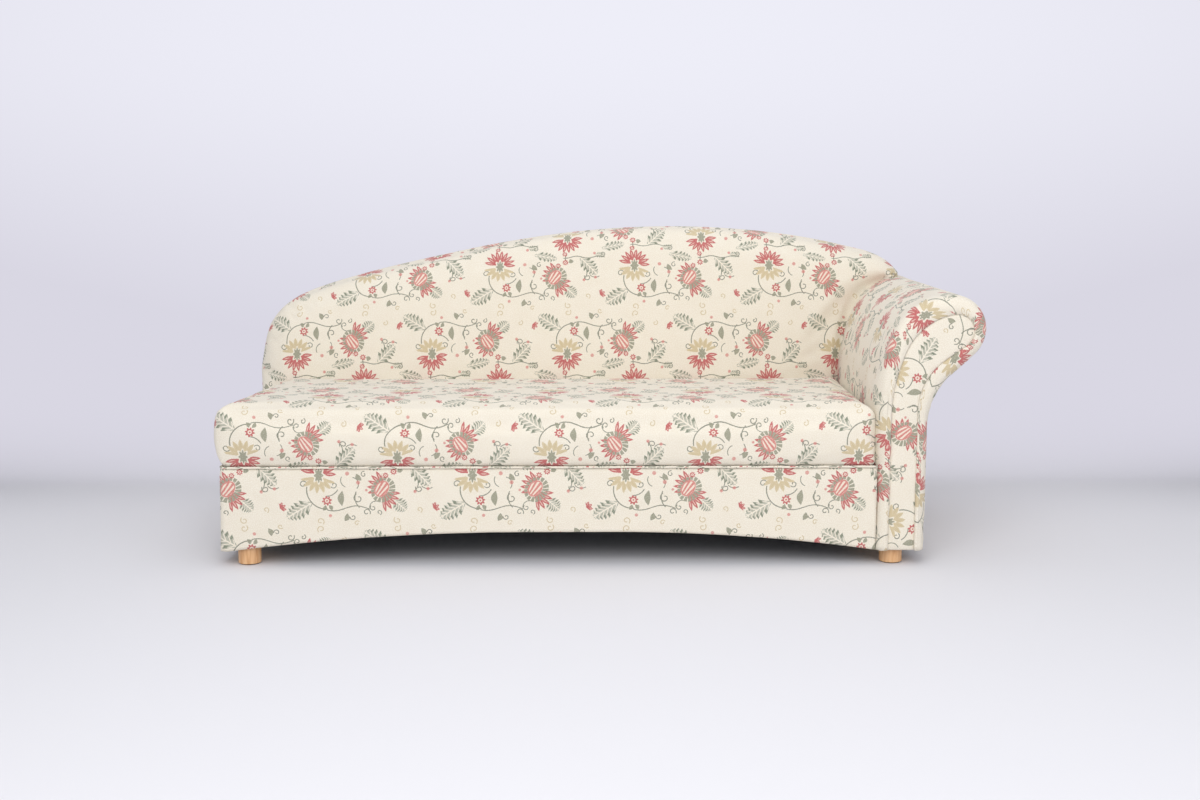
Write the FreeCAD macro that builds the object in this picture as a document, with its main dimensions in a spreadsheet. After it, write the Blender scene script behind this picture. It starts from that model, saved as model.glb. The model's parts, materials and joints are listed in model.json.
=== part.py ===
# Recamier: an upholstered day sofa with one scroll arm on its right, an arched back and four short legs.
# Millimetres. X runs to the right, Y to the back and Z up; the origin is on the floor under the middle.

import FreeCAD
import Part
import Sketcher
import math
import os
import re

# Driving dimensions: name, value and meaning
SIZES = [
    ("sofa_length", 2000, "overall length, back end to arm roll"),
    ("sofa_depth", 820, "overall depth"),
    ("back_height", 866, "floor to the top of the arched back"),
    ("clearance", 0.3, "air between covers, pads and boards"),
    ("glide_thickness", 3, "felt glide under each leg"),
    ("glide_diameter", 52, "felt glide"),
    ("leg_tall", 47, "turned leg without its glide"),
    ("leg_diameter", 60, "turned leg"),
    ("leg_from_left", 77, "left legs, centre from the left end"),
    ("leg_from_arm", 48, "right legs, centre from the arm's inner face"),
    ("leg_from_front", 47, "legs, centre from the front or the rear"),
    ("leg_bolt_diameter", 8, "hanger bolt"),
    ("leg_bolt_depth", 30, "hanger bolt in the leg"),
    ("leg_bolt_reach", 20, "hanger bolt above the leg"),
    ("rail_thickness", 22, "seat frame rails"),
    ("frame_top", 255, "top of the seat frame"),
    ("inner_rail_width", 45, "rail that carries the rear ends of the seat straps"),
    ("cross_rail_height", 65, "rails from front to back under the straps"),
    ("cross_rail_top", 170, "top of the rails from front to back"),
    ("block_side", 110, "corner block along each rail"),
    ("block_nose", 50, "corner block, end beside the rail"),
    ("block_height", 38, "corner block"),
    ("border_bottom", 40, "lower edge of the border at its ends"),
    ("border_thickness", 4, "border cloth and wadding"),
    ("border_corner", 14, "rounding of the border at the front left corner"),
    ("arch_rise", 50, "rise of the border's arched lower edge"),
    ("arch_flat", 230, "straight middle of the arch"),
    ("arch_shift", 85, "middle of the arch, left of the sofa's middle"),
    ("rail_arch_gap", 4, "front rail above the border's arch"),
    ("seam_height", 263, "piped seam between squab and border"),
    ("piping_diameter", 7, "piping"),
    ("seat_overhang_left", 15, "squab beyond the border at the left end"),
    ("seat_overhang_front", 8, "squab beyond the border at the front"),
    ("seat_height", 427, "front edge of the seat"),
    ("seat_crown", 4, "rise of the squab at its middle"),
    ("seat_fall", 8, "drop of the squab to its back edge"),
    ("seat_edge_radius", 27, "rounding of the squab's front and end edges"),
    ("seat_corner_radius", 30, "rounding of the squab's upright corners"),
    ("cover_thickness", 4, "cloth and wadding of squab, back and arm"),
    ("strap_width", 60, "elastic webbing"),
    ("strap_thickness", 2, "elastic webbing"),
    ("strap_lap", 20, "webbing on top of a rail"),
    ("seat_long_straps", 5, "count, left to right"),
    ("seat_short_straps", 13, "count, front to back"),
    ("deck_thickness", 1.2, "deck cloth over the webbing"),
    ("back_thickness", 230, "face of the back to the rear, at the crease"),
    ("back_crease", 410, "height of the crease between squab and back"),
    ("back_lean", 9, "degrees from upright"),
    ("back_edge_radius", 45, "roll along the edge of the back"),
    ("back_pad", 44, "foam over the back frame"),
    ("back_board", 18, "boards of the back frame"),
    ("back_band", 66, "width of the curved boards of the back"),
    ("back_end_radius", 622, "outline of the back: its upright end"),
    ("back_end_turn", 10.8, "degrees"),
    ("back_shoulder_radius", 172.5, "outline of the back: the low shoulder"),
    ("back_shoulder_turn", 57.8, "degrees"),
    ("back_slope_radius", 1718, "outline of the back: above the shoulder"),
    ("back_slope_turn", 8.9, "degrees"),
    ("back_crest_radius", 2412, "outline of the back: the crest"),
    ("back_crest_turn", 26.9, "degrees"),
    ("back_tip_radius", 162.5, "outline of the back: the drop onto the arm"),
    ("back_tip_turn", 41.6, "degrees"),
    ("back_tip_from_right", 93, "tip of the back from the right end"),
    ("back_tip_drop", 120, "hidden end of the back inside the arm, below its tip"),
    ("outside_thickness", 5.7, "outside back and rear facing with their stiffener"),
    ("arm_straight_top", 420, "where the inner face of the arm starts to curve"),
    ("arm_inner_radius", 546, "outline of the arm: inner face"),
    ("arm_inner_turn", 21.6, "degrees"),
    ("arm_shoulder_radius", 129, "outline of the arm: over the shoulder"),
    ("arm_shoulder_turn", 59.7, "degrees"),
    ("arm_top_flat", 36, "outline of the arm: straight top"),
    ("arm_roll_radius", 84, "outline of the arm: the roll"),
    ("arm_roll_turn", 145.9, "degrees"),
    ("arm_under_flat", 89.5, "outline of the arm: straight under the roll"),
    ("arm_neck_radius", 165.5, "outline of the arm: hollow neck"),
    ("arm_edge_radius", 20, "roll of the arm's front edge"),
    ("arm_pad", 18, "foam of the arm"),
    ("arm_skin", 3, "bent hardboard under the foam"),
    ("arm_split", 500, "seam between the inner and outer arm covers"),
    ("template_thickness", 20, "scroll-shaped boards of the arm"),
    ("arm_rail_height", 22, "bottom board of the arm"),
    ("batten_width", 40, "battens between the scroll boards"),
    ("batten_thickness", 20, "battens between the scroll boards"),
    ("facing_left", 30, "front facing, inner edge from the arm's inner face"),
    ("facing_straight_top", 395, "where the inner edge of the facing starts to curve"),
    ("facing_inner_radius", 424, "outline of the facing: inner edge"),
    ("facing_inner_turn", 24.3, "degrees"),
    ("facing_shoulder_radius", 161.6, "outline of the facing: over the shoulder"),
    ("facing_shoulder_turn", 56.2, "degrees"),
    ("facing_tip_radius", 46.3, "outline of the facing: tip in the roll"),
    ("facing_tip_turn", 154.3, "degrees"),
    ("facing_under_flat", 65.8, "outline of the facing: straight under the tip"),
    ("facing_neck_radius", 156.8, "outline of the facing: hollow neck"),
    ("facing_thickness", 5.7, "front facing"),
    ("facing_bevel", 3, "edge of the front facing"),
    ("facing_lap", 12, "cover behind the edge of the facing"),
    ("bolt_diameter", 8, "bolts of the arm and the back"),
    ("bolt_head_diameter", 16, "bolt heads"),
    ("bolt_head_height", 4, "bolt heads"),
    ("nut_diameter", 15, "nuts"),
    ("nut_height", 7, "nuts"),
    ("bore_play", 0.6, "bores wider than their bolts"),
    ("bolt_from_end", 150, "bolts of the arm, from its ends and from each other"),
    ("back_bolt_reach", 60, "bolts of the back below their heads"),
    ("arm_rail_width", 70, "bottom board of the arm"),
    ("back_upright_straps", 10, "count, up the back"),
    ("back_level_straps", 2, "count, along the back"),
    ("back_straps_top", 540, "height below which the level straps lie"),
    ("dust_cloth", 1, "cloth under the seat"),
]

# Places worked out from the driving dimensions
PLACES = {
    "left_end": "-sofa_length / 2",
    "right_end": "sofa_length / 2",
    "front_end": "-sofa_depth / 2",
    "rear_end": "sofa_depth / 2",
    "arm_top_turn": "arm_inner_turn + arm_shoulder_turn",
    "arm_shoulder_reach": "arm_shoulder_radius * (cos(arm_inner_turn) - cos(arm_top_turn))",
    "arm_roll_reach": "arm_roll_radius * (1 + cos(arm_top_turn))",
    "arm_reach": "arm_inner_radius * (1 - cos(arm_inner_turn)) + arm_shoulder_reach"
    " + arm_top_flat * sin(arm_top_turn) + arm_roll_reach",
    "arm_inner": "right_end - arm_reach",
    "arm_core": "cover_thickness + arm_pad + arm_skin + 3 * clearance",
    "border_left": "left_end + seat_overhang_left",
    "border_front": "front_end + seat_overhang_front",
    "frame_left": "border_left + border_thickness + clearance",
    "frame_front": "border_front + border_thickness + clearance",
    "frame_right": "arm_inner - clearance",
    "frame_rear": "rear_end - outside_thickness - clearance",
    "frame_bottom": "glide_thickness + leg_tall",
    "arch_crown": "border_bottom + arch_rise",
    "rail_crown": "arch_crown + rail_arch_gap",
    "arch_left": "-arch_shift - arch_flat / 2",
    "arch_right": "-arch_shift + arch_flat / 2",
    "border_top": "seam_height - piping_diameter / 2 - clearance",
    "squab_bottom": "seam_height + piping_diameter / 2 + clearance",
    "back_face": "rear_end - back_thickness",
    "roll_level": "back_crease + back_edge_radius",
    "outline_top": "roll_level"
    " + (back_height - roll_level + back_edge_radius * sin(back_lean)) / cos(back_lean)",
    "face_at_seam": "back_face - (back_crease - seam_height) * tan(back_lean)",
    "inner_rail_front": "face_at_seam + cover_thickness + 2 * clearance",
    "inner_rail_rear": "inner_rail_front + inner_rail_width",
    "strap_top": "frame_top + 2 * strap_thickness + clearance",
    "deck_top": "strap_top + clearance + deck_thickness",
    "sill_front": "inner_rail_front + strap_lap + clearance",
    "sill_top": "frame_top + back_board",
    "left_leg": "left_end + leg_from_left",
    "right_leg": "arm_inner + leg_from_arm",
    "front_leg": "front_end + leg_from_front",
    "rear_leg": "rear_end - leg_from_front",
    "arm_front": "front_end + facing_thickness + clearance",
    "arm_body": "arm_front + cover_thickness + clearance",
    "mount_front": "arm_body + arm_edge_radius",
    "mount_left": "arm_inner + cover_thickness + clearance",
    "mount_right": "arm_inner + arm_core - clearance",
    "core_left": "arm_inner + arm_core",
    "arm_top": "arm_straight_top + arm_inner_radius * sin(arm_inner_turn)"
    " + arm_shoulder_radius * (sin(arm_top_turn) - sin(arm_inner_turn))"
    " + arm_top_flat * cos(arm_top_turn) + arm_roll_radius * (1 - sin(arm_top_turn))",
    "roll_height": "arm_top - arm_roll_radius",
    "template_foot": "frame_bottom + arm_rail_height",
    "bolt_height": "(frame_bottom + frame_top) / 2",
}

# A length past every piece, and how far a shorter tool runs past what it cuts
FAR = 3000
EVERYWHERE = (-FAR, FAR)
PAST = 10
# A bevel of this share of a roll's radius stands for the roll
ROLL_SHARE = 0.6

doc = FreeCAD.newDocument("Recamier")
sheet = doc.addObject("Spreadsheet::Sheet", "Sizes")
for row, (alias, number, meaning) in enumerate(SIZES, start=1):
    sheet.set(f"A{row}", meaning)
    sheet.set(f"B{row}", str(number))
    sheet.setAlias(f"B{row}", alias)
doc.recompute()

CELLS = {alias for alias, number, meaning in SIZES}
nodes = {}


def spell_out(text):
    """An expression with its places replaced until only cells of the sheet are left."""

    def word(match):
        name = match.group(0)
        if name in PLACES:
            return "(" + spell_out(PLACES[name]) + ")"
        return "Sizes." + name if name in CELLS else name

    return re.sub(r"[a-z_]+", word, str(text))


def size(text):
    """The number that an expression gives."""
    return float(sheet.evalExpression(spell_out(text)))


def bind(thing, prop, text):
    thing.setExpression(prop, spell_out(text))


def put(thing, place):
    """Tie an object's place to the sheet."""
    for axis, text in zip("xyz", place):
        bind(thing, f"Placement.Base.{axis}", text)


def keep(label, thing):
    """Make an object a sub-part of the sofa under the name of its file."""
    thing.Label = label
    nodes[label] = thing
    return thing


# Simple pieces


def box(name, x, y, z):
    """A block between two expressions along each axis."""
    block = doc.addObject("Part::Box", name)
    for prop, span in (("Length", x), ("Width", y), ("Height", z)):
        bind(block, prop, f"({span[1]}) - ({span[0]})")
    put(block, (x[0], y[0], z[0]))
    return block


def rod(name, start, diameter, long, direction=(0, 0, 1)):
    """A round bar from a point along a direction."""
    bar = doc.addObject("Part::Cylinder", name)
    bind(bar, "Radius", f"({diameter}) / 2")
    bind(bar, "Height", long)
    bar.Placement.Rotation = FreeCAD.Rotation(FreeCAD.Vector(0, 0, 1), FreeCAD.Vector(*direction))
    put(bar, start)
    return bar


def hexagon(name, start, width, long, direction=(0, 0, 1)):
    """A six-sided bar, as wide as stated across its corners."""
    bar = doc.addObject("Part::Prism", name)
    bar.Polygon = 6
    bind(bar, "Circumradius", f"({width}) / 2")
    bind(bar, "Height", long)
    bar.Placement.Rotation = FreeCAD.Rotation(FreeCAD.Vector(0, 0, 1), FreeCAD.Vector(*direction))
    put(bar, start)
    return bar


def group(name, things):
    """Separate like pieces that share one node."""
    bundle = doc.addObject("Part::Compound", name)
    bundle.Links = things
    return bundle


def joined(name, things):
    whole = doc.addObject("Part::MultiFuse", name)
    whole.Shapes = things
    return whole


def bored(name, base, tools):
    """A piece with holes cut through it."""
    cut = doc.addObject("Part::Cut", name)
    cut.Base = base
    cut.Tool = tools[0] if len(tools) == 1 else group(name + "_bores", tools)
    return cut


def origin_plane(body, role):
    return next(plane for plane in body.Origin.OriginFeatures if plane.Role == role)


def hold_point(sketch, edge, end, point):
    """Tie one end of an edge to two expressions, or to an axis where one of them is zero."""
    for kind, text, axis in (("DistanceX", point[0], -2), ("DistanceY", point[1], -1)):
        if text == "0":
            sketch.addConstraint(Sketcher.Constraint("PointOnObject", edge, end, axis))
        else:
            rule = Sketcher.Constraint(kind, -1, 1, edge, end, size(text))
            bind(sketch, f"Constraints[{sketch.addConstraint(rule)}]", text)


def bulged_edge(start, end, radius):
    """The short arc of a radius between two points, on the left of the run."""
    run = end - start
    side = FreeCAD.Vector(-run.y, run.x, 0).normalize()
    sagitta = radius - math.sqrt(radius**2 - (run.Length / 2) ** 2)
    return Part.Arc(start, (start + end) * 0.5 + side * sagitta, end)


def profile(body, name, role, points):
    """A closed sketch; a point's third item is the radius of the arc that leaves it."""
    sketch = body.newObject("Sketcher::SketchObject", name)
    sketch.AttachmentSupport = [(origin_plane(body, role), "")]
    sketch.MapMode = "FlatFace"
    corners = [FreeCAD.Vector(size(point[0]), size(point[1]), 0) for point in points]
    ends = []
    for place, point in enumerate(points):
        start = corners[place]
        end = corners[(place + 1) % len(points)]
        curved = len(point) == 3
        edge = bulged_edge(start, end, size(point[2])) if curved else Part.LineSegment(start, end)
        sketch.addGeometry(edge, False)
        forward = sketch.getPoint(place, 1).distanceToPoint(start) < 1e-6
        ends.append((1, 2) if forward else (2, 1))
    for place, point in enumerate(points):
        last = place - 1 if place else len(points) - 1
        rule = Sketcher.Constraint("Coincident", last, ends[last][1], place, ends[place][0])
        sketch.addConstraint(rule)
        hold_point(sketch, place, ends[place][0], point)
        if len(point) == 3:
            rule = Sketcher.Constraint("Radius", place, size(point[2]))
            bind(sketch, f"Constraints[{sketch.addConstraint(rule)}]", point[2])
    return sketch


def turned(name, points, place):
    """A body turned about its own upright axis from half a profile."""
    body = doc.addObject("PartDesign::Body", name)
    sketch = profile(body, name + "_profile", "XZ_Plane", points)
    turn = body.newObject("PartDesign::Revolution", name + "_turn")
    turn.Profile = sketch
    turn.ReferenceAxis = (sketch, ["V_Axis"])
    turn.Angle = 360
    put(body, place)
    return body


def padded(name, role, points, long, place):
    """A body pushed out from a profile."""
    body = doc.addObject("PartDesign::Body", name)
    pad = body.newObject("PartDesign::Pad", name + "_pad")
    pad.Profile = profile(body, name + "_profile", role, points)
    bind(pad, "Length", long)
    put(body, place)
    return body


def bore(body, name, centre, diameter):
    """A round hole right through a body, along its own Z."""
    sketch = body.newObject("Sketcher::SketchObject", name + "_circle")
    sketch.AttachmentSupport = [(origin_plane(body, "XY_Plane"), "")]
    sketch.MapMode = "FlatFace"
    middle = FreeCAD.Vector(size(centre[0]), size(centre[1]), 0)
    sketch.addGeometry(Part.Circle(middle, FreeCAD.Vector(0, 0, 1), size(diameter) / 2), False)
    hold_point(sketch, 0, 3, centre)
    rule = Sketcher.Constraint("Diameter", 0, size(diameter))
    bind(sketch, f"Constraints[{sketch.addConstraint(rule)}]", diameter)
    hole = body.newObject("PartDesign::Pocket", name)
    hole.Profile = sketch
    hole.Type = "ThroughAll"
    hole.Midplane = True
    return hole


# Curved outlines as chains of straights and arcs


def chain(x, z, moves, inset):
    """Edges in the XZ plane that set off upwards; a turn to the right is positive, in degrees."""
    here = FreeCAD.Vector(x + inset, 0, z)
    heading = math.radians(90)
    edges = []
    for radius, turn in moves:
        if turn == 0:
            there = here + FreeCAD.Vector(math.cos(heading), 0, math.sin(heading)) * radius
            edges.append(Part.LineSegment(here, there).toShape())
            here = there
            continue
        side = math.copysign(1, turn)
        reach = radius - side * inset
        middle = here + FreeCAD.Vector(math.sin(heading), 0, -math.cos(heading)) * reach * side
        spots = []
        for share in (0.5, 1):
            angle = heading - math.radians(turn) * share
            spots.append(middle - FreeCAD.Vector(math.sin(angle), 0, -math.cos(angle)) * reach * side)
        edges.append(Part.Arc(here, spots[0], spots[1]).toShape())
        here = spots[1]
        heading -= math.radians(turn)
    return edges, here


def closed_prism(edges, corners, y_front, y_rear):
    """A solid along Y from a chain of edges closed by straight runs through the corners."""
    start = edges[0].Vertexes[0].Point
    last = edges[-1].Vertexes[-1].Point
    runs = [last] + [FreeCAD.Vector(x, 0, z) for x, z in corners] + [start]
    sides = [Part.LineSegment(a, b).toShape() for a, b in zip(runs, runs[1:])]
    face = Part.Face(Part.Wire(edges + sides))
    face.translate(FreeCAD.Vector(0, y_front, 0))
    return face.extrude(FreeCAD.Vector(0, y_rear - y_front, 0))


def block(x, y, z):
    """A plain block between two numbers along each axis."""
    corner = FreeCAD.Vector(x[0], y[0], z[0])
    return Part.makeBox(x[1] - x[0], y[1] - y[0], z[1] - z[0], corner)


def face_edges(solid, y, bottom):
    """The edges of a face square to Y, but not those along its bottom."""
    edges = []
    for edge in solid.Edges:
        spots = [edge.valueAt(p) for p in (edge.FirstParameter, edge.LastParameter)]
        on_face = all(abs(spot.y - y) < 1e-4 for spot in spots)
        if on_face and any(spot.z > bottom + 1e-4 for spot in spots):
            edges.append(edge)
    return edges


def bevelled(solid, y, width, bottom):
    return solid.makeChamfer(width, face_edges(solid, y, bottom))


def feature(label, shape):
    """A sub-part whose form no primitive or sketch gives."""
    thing = doc.addObject("Part::Feature", label)
    thing.Shape = shape
    return keep(label, thing)


# Legs and what holds them


def leg_places():
    return {
        "front_left": ("left_leg", "front_leg"),
        "front_right": ("right_leg", "front_leg"),
        "rear_left": ("left_leg", "rear_leg"),
        "rear_right": ("right_leg", "rear_leg"),
    }


def make_legs():
    bore_radius = "(leg_bolt_diameter + bore_play) / 2"
    outline = [
        ("0", "0"),
        ("0", "leg_tall - leg_bolt_depth"),
        (bore_radius, "leg_tall - leg_bolt_depth"),
        (bore_radius, "leg_tall"),
        ("leg_diameter / 2", "leg_tall"),
        ("leg_diameter / 2", "0"),
    ]
    glides = []
    bolts = []
    for corner, (x, y) in leg_places().items():
        keep("leg_" + corner, turned("leg_" + corner, outline, (x, y, "glide_thickness")))
        glides.append(rod("glide_" + corner, (x, y, "0"), "glide_diameter", "glide_thickness"))
        start = (x, y, "frame_bottom - leg_bolt_depth")
        long = "leg_bolt_depth + leg_bolt_reach"
        bolts.append(rod("leg_bolt_" + corner, start, "leg_bolt_diameter", long))
    keep("leg_glides", group("leg_glides", glides))
    keep("leg_bolts", group("leg_bolts", bolts))


def make_corner_blocks():
    corner_x = "frame_left + rail_thickness"
    rows = {
        "front": ("frame_front + rail_thickness", 0, ("left_leg - (corner_x)", "front_leg - (corner_y)")),
        "rear": ("frame_rear - rail_thickness", -90, ("(corner_y) - rear_leg", "left_leg - (corner_x)")),
    }
    outline = [
        ("0", "0"),
        ("block_side", "0"),
        ("block_side", "block_nose"),
        ("block_nose", "block_side"),
        ("0", "block_side"),
    ]
    for row, (corner_y, turn, centre) in rows.items():
        name = f"corner_block_{row}_left"
        block = padded(name, "XY_Plane", outline, "block_height", (corner_x, corner_y, "frame_bottom"))
        block.Placement.Rotation = FreeCAD.Rotation(FreeCAD.Vector(0, 0, 1), turn)
        spot = [text.replace("corner_x", corner_x).replace("corner_y", corner_y) for text in centre]
        doc.recompute()
        bore(block, name + "_bore", spot, "leg_bolt_diameter + bore_play")
        keep(name, block)


# Seat frame


def arch_radius(side, base, crown):
    """Radius of the arc that leaves the straight middle of the arch and ends at a corner."""
    return f"((({side}) ^ 2 + ({crown} - {base}) ^ 2) / (2 * ({crown} - {base})))"


def bolt_rods(name, places, diameter, start_x, end_x):
    """Bars along X at the heights and depths of the arm's bolts."""
    rods = []
    for count, y in enumerate(places):
        start = (start_x, y, "bolt_height")
        rods.append(rod(f"{name}_{count}", start, diameter, f"({end_x}) - ({start_x})", (1, 0, 0)))
    return rods


ARM_BOLTS = ["arm_body + bolt_from_end", "arm_body + 2 * bolt_from_end", "frame_rear - bolt_from_end"]
SILL_BOLT_SHARES = (0.125, 0.375, 0.625, 0.875)


def sill_bolt_places():
    """Where the sill of the back is screwed down on the rear rail."""
    length = "(frame_right - frame_left)"
    rear = "frame_rear - rail_thickness / 2"
    return [(f"frame_left + {length} * {share}", rear) for share in SILL_BOLT_SHARES]


def sill_bores(name):
    """Holes for the bolts that come down through the sill."""
    holes = []
    for count, (x, y) in enumerate(sill_bolt_places()):
        start = (x, y, "sill_top - back_bolt_reach - clearance")
        diameter = "bolt_diameter + bore_play"
        holes.append(rod(f"{name}_{count}", start, diameter, "back_bolt_reach + 2 * clearance"))
    return holes


def eased_end(body):
    """Round the upright edge of the front rail at the left corner, under the border's own corner."""
    doc.recompute()
    pad = body.Tip
    for count, edge in enumerate(pad.Shape.Edges, start=1):
        bounds = edge.BoundBox
        at_corner = bounds.XMax < size("frame_left") + 1e-3 and bounds.YLength < 1e-3
        if at_corner and bounds.ZLength > 1 and bounds.YMax < -size("rail_thickness") + 1e-3:
            ease = body.newObject("PartDesign::Fillet", body.Name + "_eased")
            ease.Base = (pad, [f"Edge{count}"])
            bind(ease, "Radius", "border_corner - border_thickness - clearance")
            return body
    raise RuntimeError("the front rail has no left corner")


def make_seat_frame():
    left_arch = arch_radius("arch_left - frame_left", "frame_bottom", "rail_crown")
    right_arch = arch_radius("frame_right - arch_right", "frame_bottom", "rail_crown")
    outline = [
        ("frame_left", "frame_bottom", left_arch),
        ("arch_left", "rail_crown"),
        ("arch_right", "rail_crown", right_arch),
        ("frame_right", "frame_bottom"),
        ("frame_right", "frame_top"),
        ("frame_left", "frame_top"),
    ]
    place = ("0", "frame_front + rail_thickness", "0")
    keep("front_rail", eased_end(padded("front_rail", "XZ_Plane", outline, "rail_thickness", place)))
    whole = ("frame_left", "frame_right")
    inside = ("frame_left + rail_thickness", "frame_right - rail_thickness")
    deep = ("frame_front + rail_thickness", "frame_rear - rail_thickness")
    tall = ("frame_bottom", "frame_top")
    rear = box("rear_rail_board", whole, ("frame_rear - rail_thickness", "frame_rear"), tall)
    keep("rear_rail", bored("rear_rail", rear, sill_bores("rear_rail_bore")))
    keep("left_end_rail", box("left_end_rail", ("frame_left", inside[0]), deep, tall))
    right = box("right_end_board", (inside[1], "frame_right"), deep, tall)
    diameter = "bolt_diameter + bore_play"
    holes = bolt_rods("right_end_bore", ARM_BOLTS, diameter, inside[1] + " - 1", "arm_inner")
    keep("right_end_rail", bored("right_end_rail", right, holes))
    inner_depth = ("inner_rail_front", "inner_rail_rear")
    keep("seat_inner_rail", box("seat_inner_rail", inside, inner_depth, ("cross_rail_top", "frame_top")))
    for count in (1, 2, 3):
        middle = f"frame_left + (frame_right - frame_left) * {count} / 4"
        span = (f"{middle} - rail_thickness / 2", f"{middle} + rail_thickness / 2")
        heights = ("cross_rail_top - cross_rail_height", "cross_rail_top")
        keep(f"seat_cross_rail_{count}", box(f"seat_cross_rail_{count}", span, deep, heights))


# Seat webbing, deck and squab


def spread(first, last, count):
    """Middles of equal shares of a span."""
    return [first + (last - first) * (place + 0.5) / count for place in range(count)]


def woven_strap(x, crossings, parity, front, rear):
    """A strap from front to back that passes over and under the long straps in turn."""
    thick = size("strap_thickness")
    level = size("frame_top")
    lap = size("strap_lap")
    half = size("strap_width") / 2 + 4
    step = thick + size("clearance")
    spots = [(front - lap, level), (front, level)]
    for count, y in enumerate(crossings):
        height = level + (step if (count + parity) % 2 else -step)
        spots += [(y - half, height), (y + half, height)]
    spots += [(rear, level), (rear + lap, level)]
    under = [FreeCAD.Vector(x, y, z) for y, z in spots]
    over = [FreeCAD.Vector(x, y, z + thick) for y, z in reversed(spots)]
    face = Part.Face(Part.makePolygon(under + over + under[:1]))
    return face.extrude(FreeCAD.Vector(size("strap_width"), 0, 0))


def make_seat_webbing():
    front = size("frame_front + rail_thickness")
    rear = size("inner_rail_front")
    left = size("frame_left + rail_thickness")
    right = size("frame_right - rail_thickness")
    lap = size("strap_lap")
    width = size("strap_width")
    level = size("frame_top")
    crossings = spread(front, rear, int(size("seat_long_straps")))
    long_straps = []
    for y in crossings:
        span_y = (y - width / 2, y + width / 2)
        long_straps.append(block((left - lap, right + lap), span_y, (level, level + size("strap_thickness"))))
    short_straps = []
    for count, x in enumerate(spread(left, right, int(size("seat_short_straps")))):
        short_straps.append(woven_strap(x - width / 2, crossings, count % 2, front, rear))
    feature("seat_long_webbing", Part.makeCompound(long_straps))
    feature("seat_short_webbing", Part.makeCompound(short_straps))
    side = ("frame_left + border_thickness", "frame_right - border_thickness")
    depth = ("frame_front + border_thickness", "sill_front - clearance")
    keep("deck_cloth", box("deck_cloth", side, depth, ("strap_top + clearance", "deck_top")))


def arc_edge(a, b, c):
    return Part.Arc(a, b, c).toShape()


def line_edge(a, b):
    return Part.LineSegment(a, b).toShape()


def prism(edges, push):
    return Part.Face(Part.Wire(Part.__sortEdges__(edges))).extrude(push)


def squab_side(low, far, top, bottom, round_radius, spot):
    """One side of the squab in outline: a drawn-in foot, a bulging side and a rounded upper edge."""
    seam = size("squab_bottom")
    shoulder = top - round_radius
    belly = seam + (shoulder - seam) * 0.55
    edges = [line_edge(spot(low, bottom), spot(low, seam))] if bottom < seam - 1e-6 else []
    edges.append(arc_edge(spot(low, seam), spot(far, belly), spot(far, shoulder)))
    lean = 1 - math.sqrt(0.5)
    edge_middle = spot(far + round_radius * lean, top - round_radius * lean)
    edges.append(arc_edge(spot(far, shoulder), edge_middle, spot(far + round_radius, top)))
    return edges


def squab(inset, bottom):
    """The squab's form, shrunk by an inset: crowned, with drawn-in sides and rounded edges."""
    left = size("left_end") + inset
    low_left = size("border_left") + inset
    right = size("arm_inner - clearance") - inset
    front = size("front_end") + inset
    low_front = size("border_front") + inset
    rear = size("back_face - clearance") - inset
    rear_low = rear - size("(back_crease - squab_bottom) * tan(back_lean)")
    top = size("seat_height") - inset
    crown = size("seat_crown")
    end_top = top - crown
    lean = size("tan(back_lean)")
    radius = size("seat_edge_radius") - inset

    def flat(x, z):
        return FreeCAD.Vector(x, front - 5, z)

    def deep(y, z):
        return FreeCAD.Vector(left - 5, y, z)

    long_edges = squab_side(low_left, left, end_top, bottom, radius, flat)
    middle = flat((left + right) / 2, top + crown)
    long_edges.append(arc_edge(flat(left + radius, end_top), middle, flat(right - radius, end_top)))
    turn = radius * (1 - math.sqrt(0.5))
    shoulder = flat(right, end_top - radius)
    long_edges.append(arc_edge(flat(right - radius, end_top), flat(right - turn, end_top - turn), shoulder))
    long_edges.append(line_edge(shoulder, flat(right, bottom)))
    long_edges.append(line_edge(flat(right, bottom), flat(low_left, bottom)))
    along = prism(long_edges, FreeCAD.Vector(0, rear - front + 50, 0))

    cross_edges = squab_side(low_front, front, top, bottom, radius, deep)
    back_top = top - size("seat_fall")
    upper = deep(rear + (back_top - size("back_crease")) * lean, back_top)
    lower = deep(rear_low + (bottom - size("squab_bottom")) * lean, bottom)
    cross_edges.append(line_edge(deep(front + radius, top), upper))
    cross_edges.append(line_edge(upper, lower))
    cross_edges.append(line_edge(lower, deep(low_front, bottom)))
    across = prism(cross_edges, FreeCAD.Vector(right - left + PAST, 0, 0))

    corner = size("seat_corner_radius") - inset
    turn = corner * (1 - math.sqrt(0.5))

    def plan(x, y):
        return FreeCAD.Vector(x, y, bottom - 5)

    plan_edges = [
        line_edge(plan(left, rear + 40), plan(left, front + corner)),
        arc_edge(plan(left, front + corner), plan(left + turn, front + turn), plan(left + corner, front)),
        line_edge(plan(left + corner, front), plan(right - corner, front)),
        arc_edge(plan(right - corner, front), plan(right - turn, front + turn), plan(right, front + corner)),
        line_edge(plan(right, front + corner), plan(right, rear + 40)),
        line_edge(plan(right, rear + 40), plan(left, rear + 40)),
    ]
    upright = prism(plan_edges, FreeCAD.Vector(0, 0, top + crown + 10 - bottom))
    return along.common(across).common(upright)


def make_squab():
    cover = size("cover_thickness")
    foot = size("squab_bottom")
    shell = squab(0, foot).cut(squab(cover, foot - cover))
    feature("seat_cover", shell)
    foam = squab(cover + size("clearance"), foot)
    sides = (size("border_left + border_corner"), size("frame_right - border_corner"))
    depth = (size("border_front + border_corner"), size("face_at_seam") - cover)
    base = block(sides, depth, (size("deck_top + clearance"), foot + cover))
    feature("seat_foam", foam.fuse(base).removeSplitter())


# Border round the base, its piping and the cloth underneath


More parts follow.
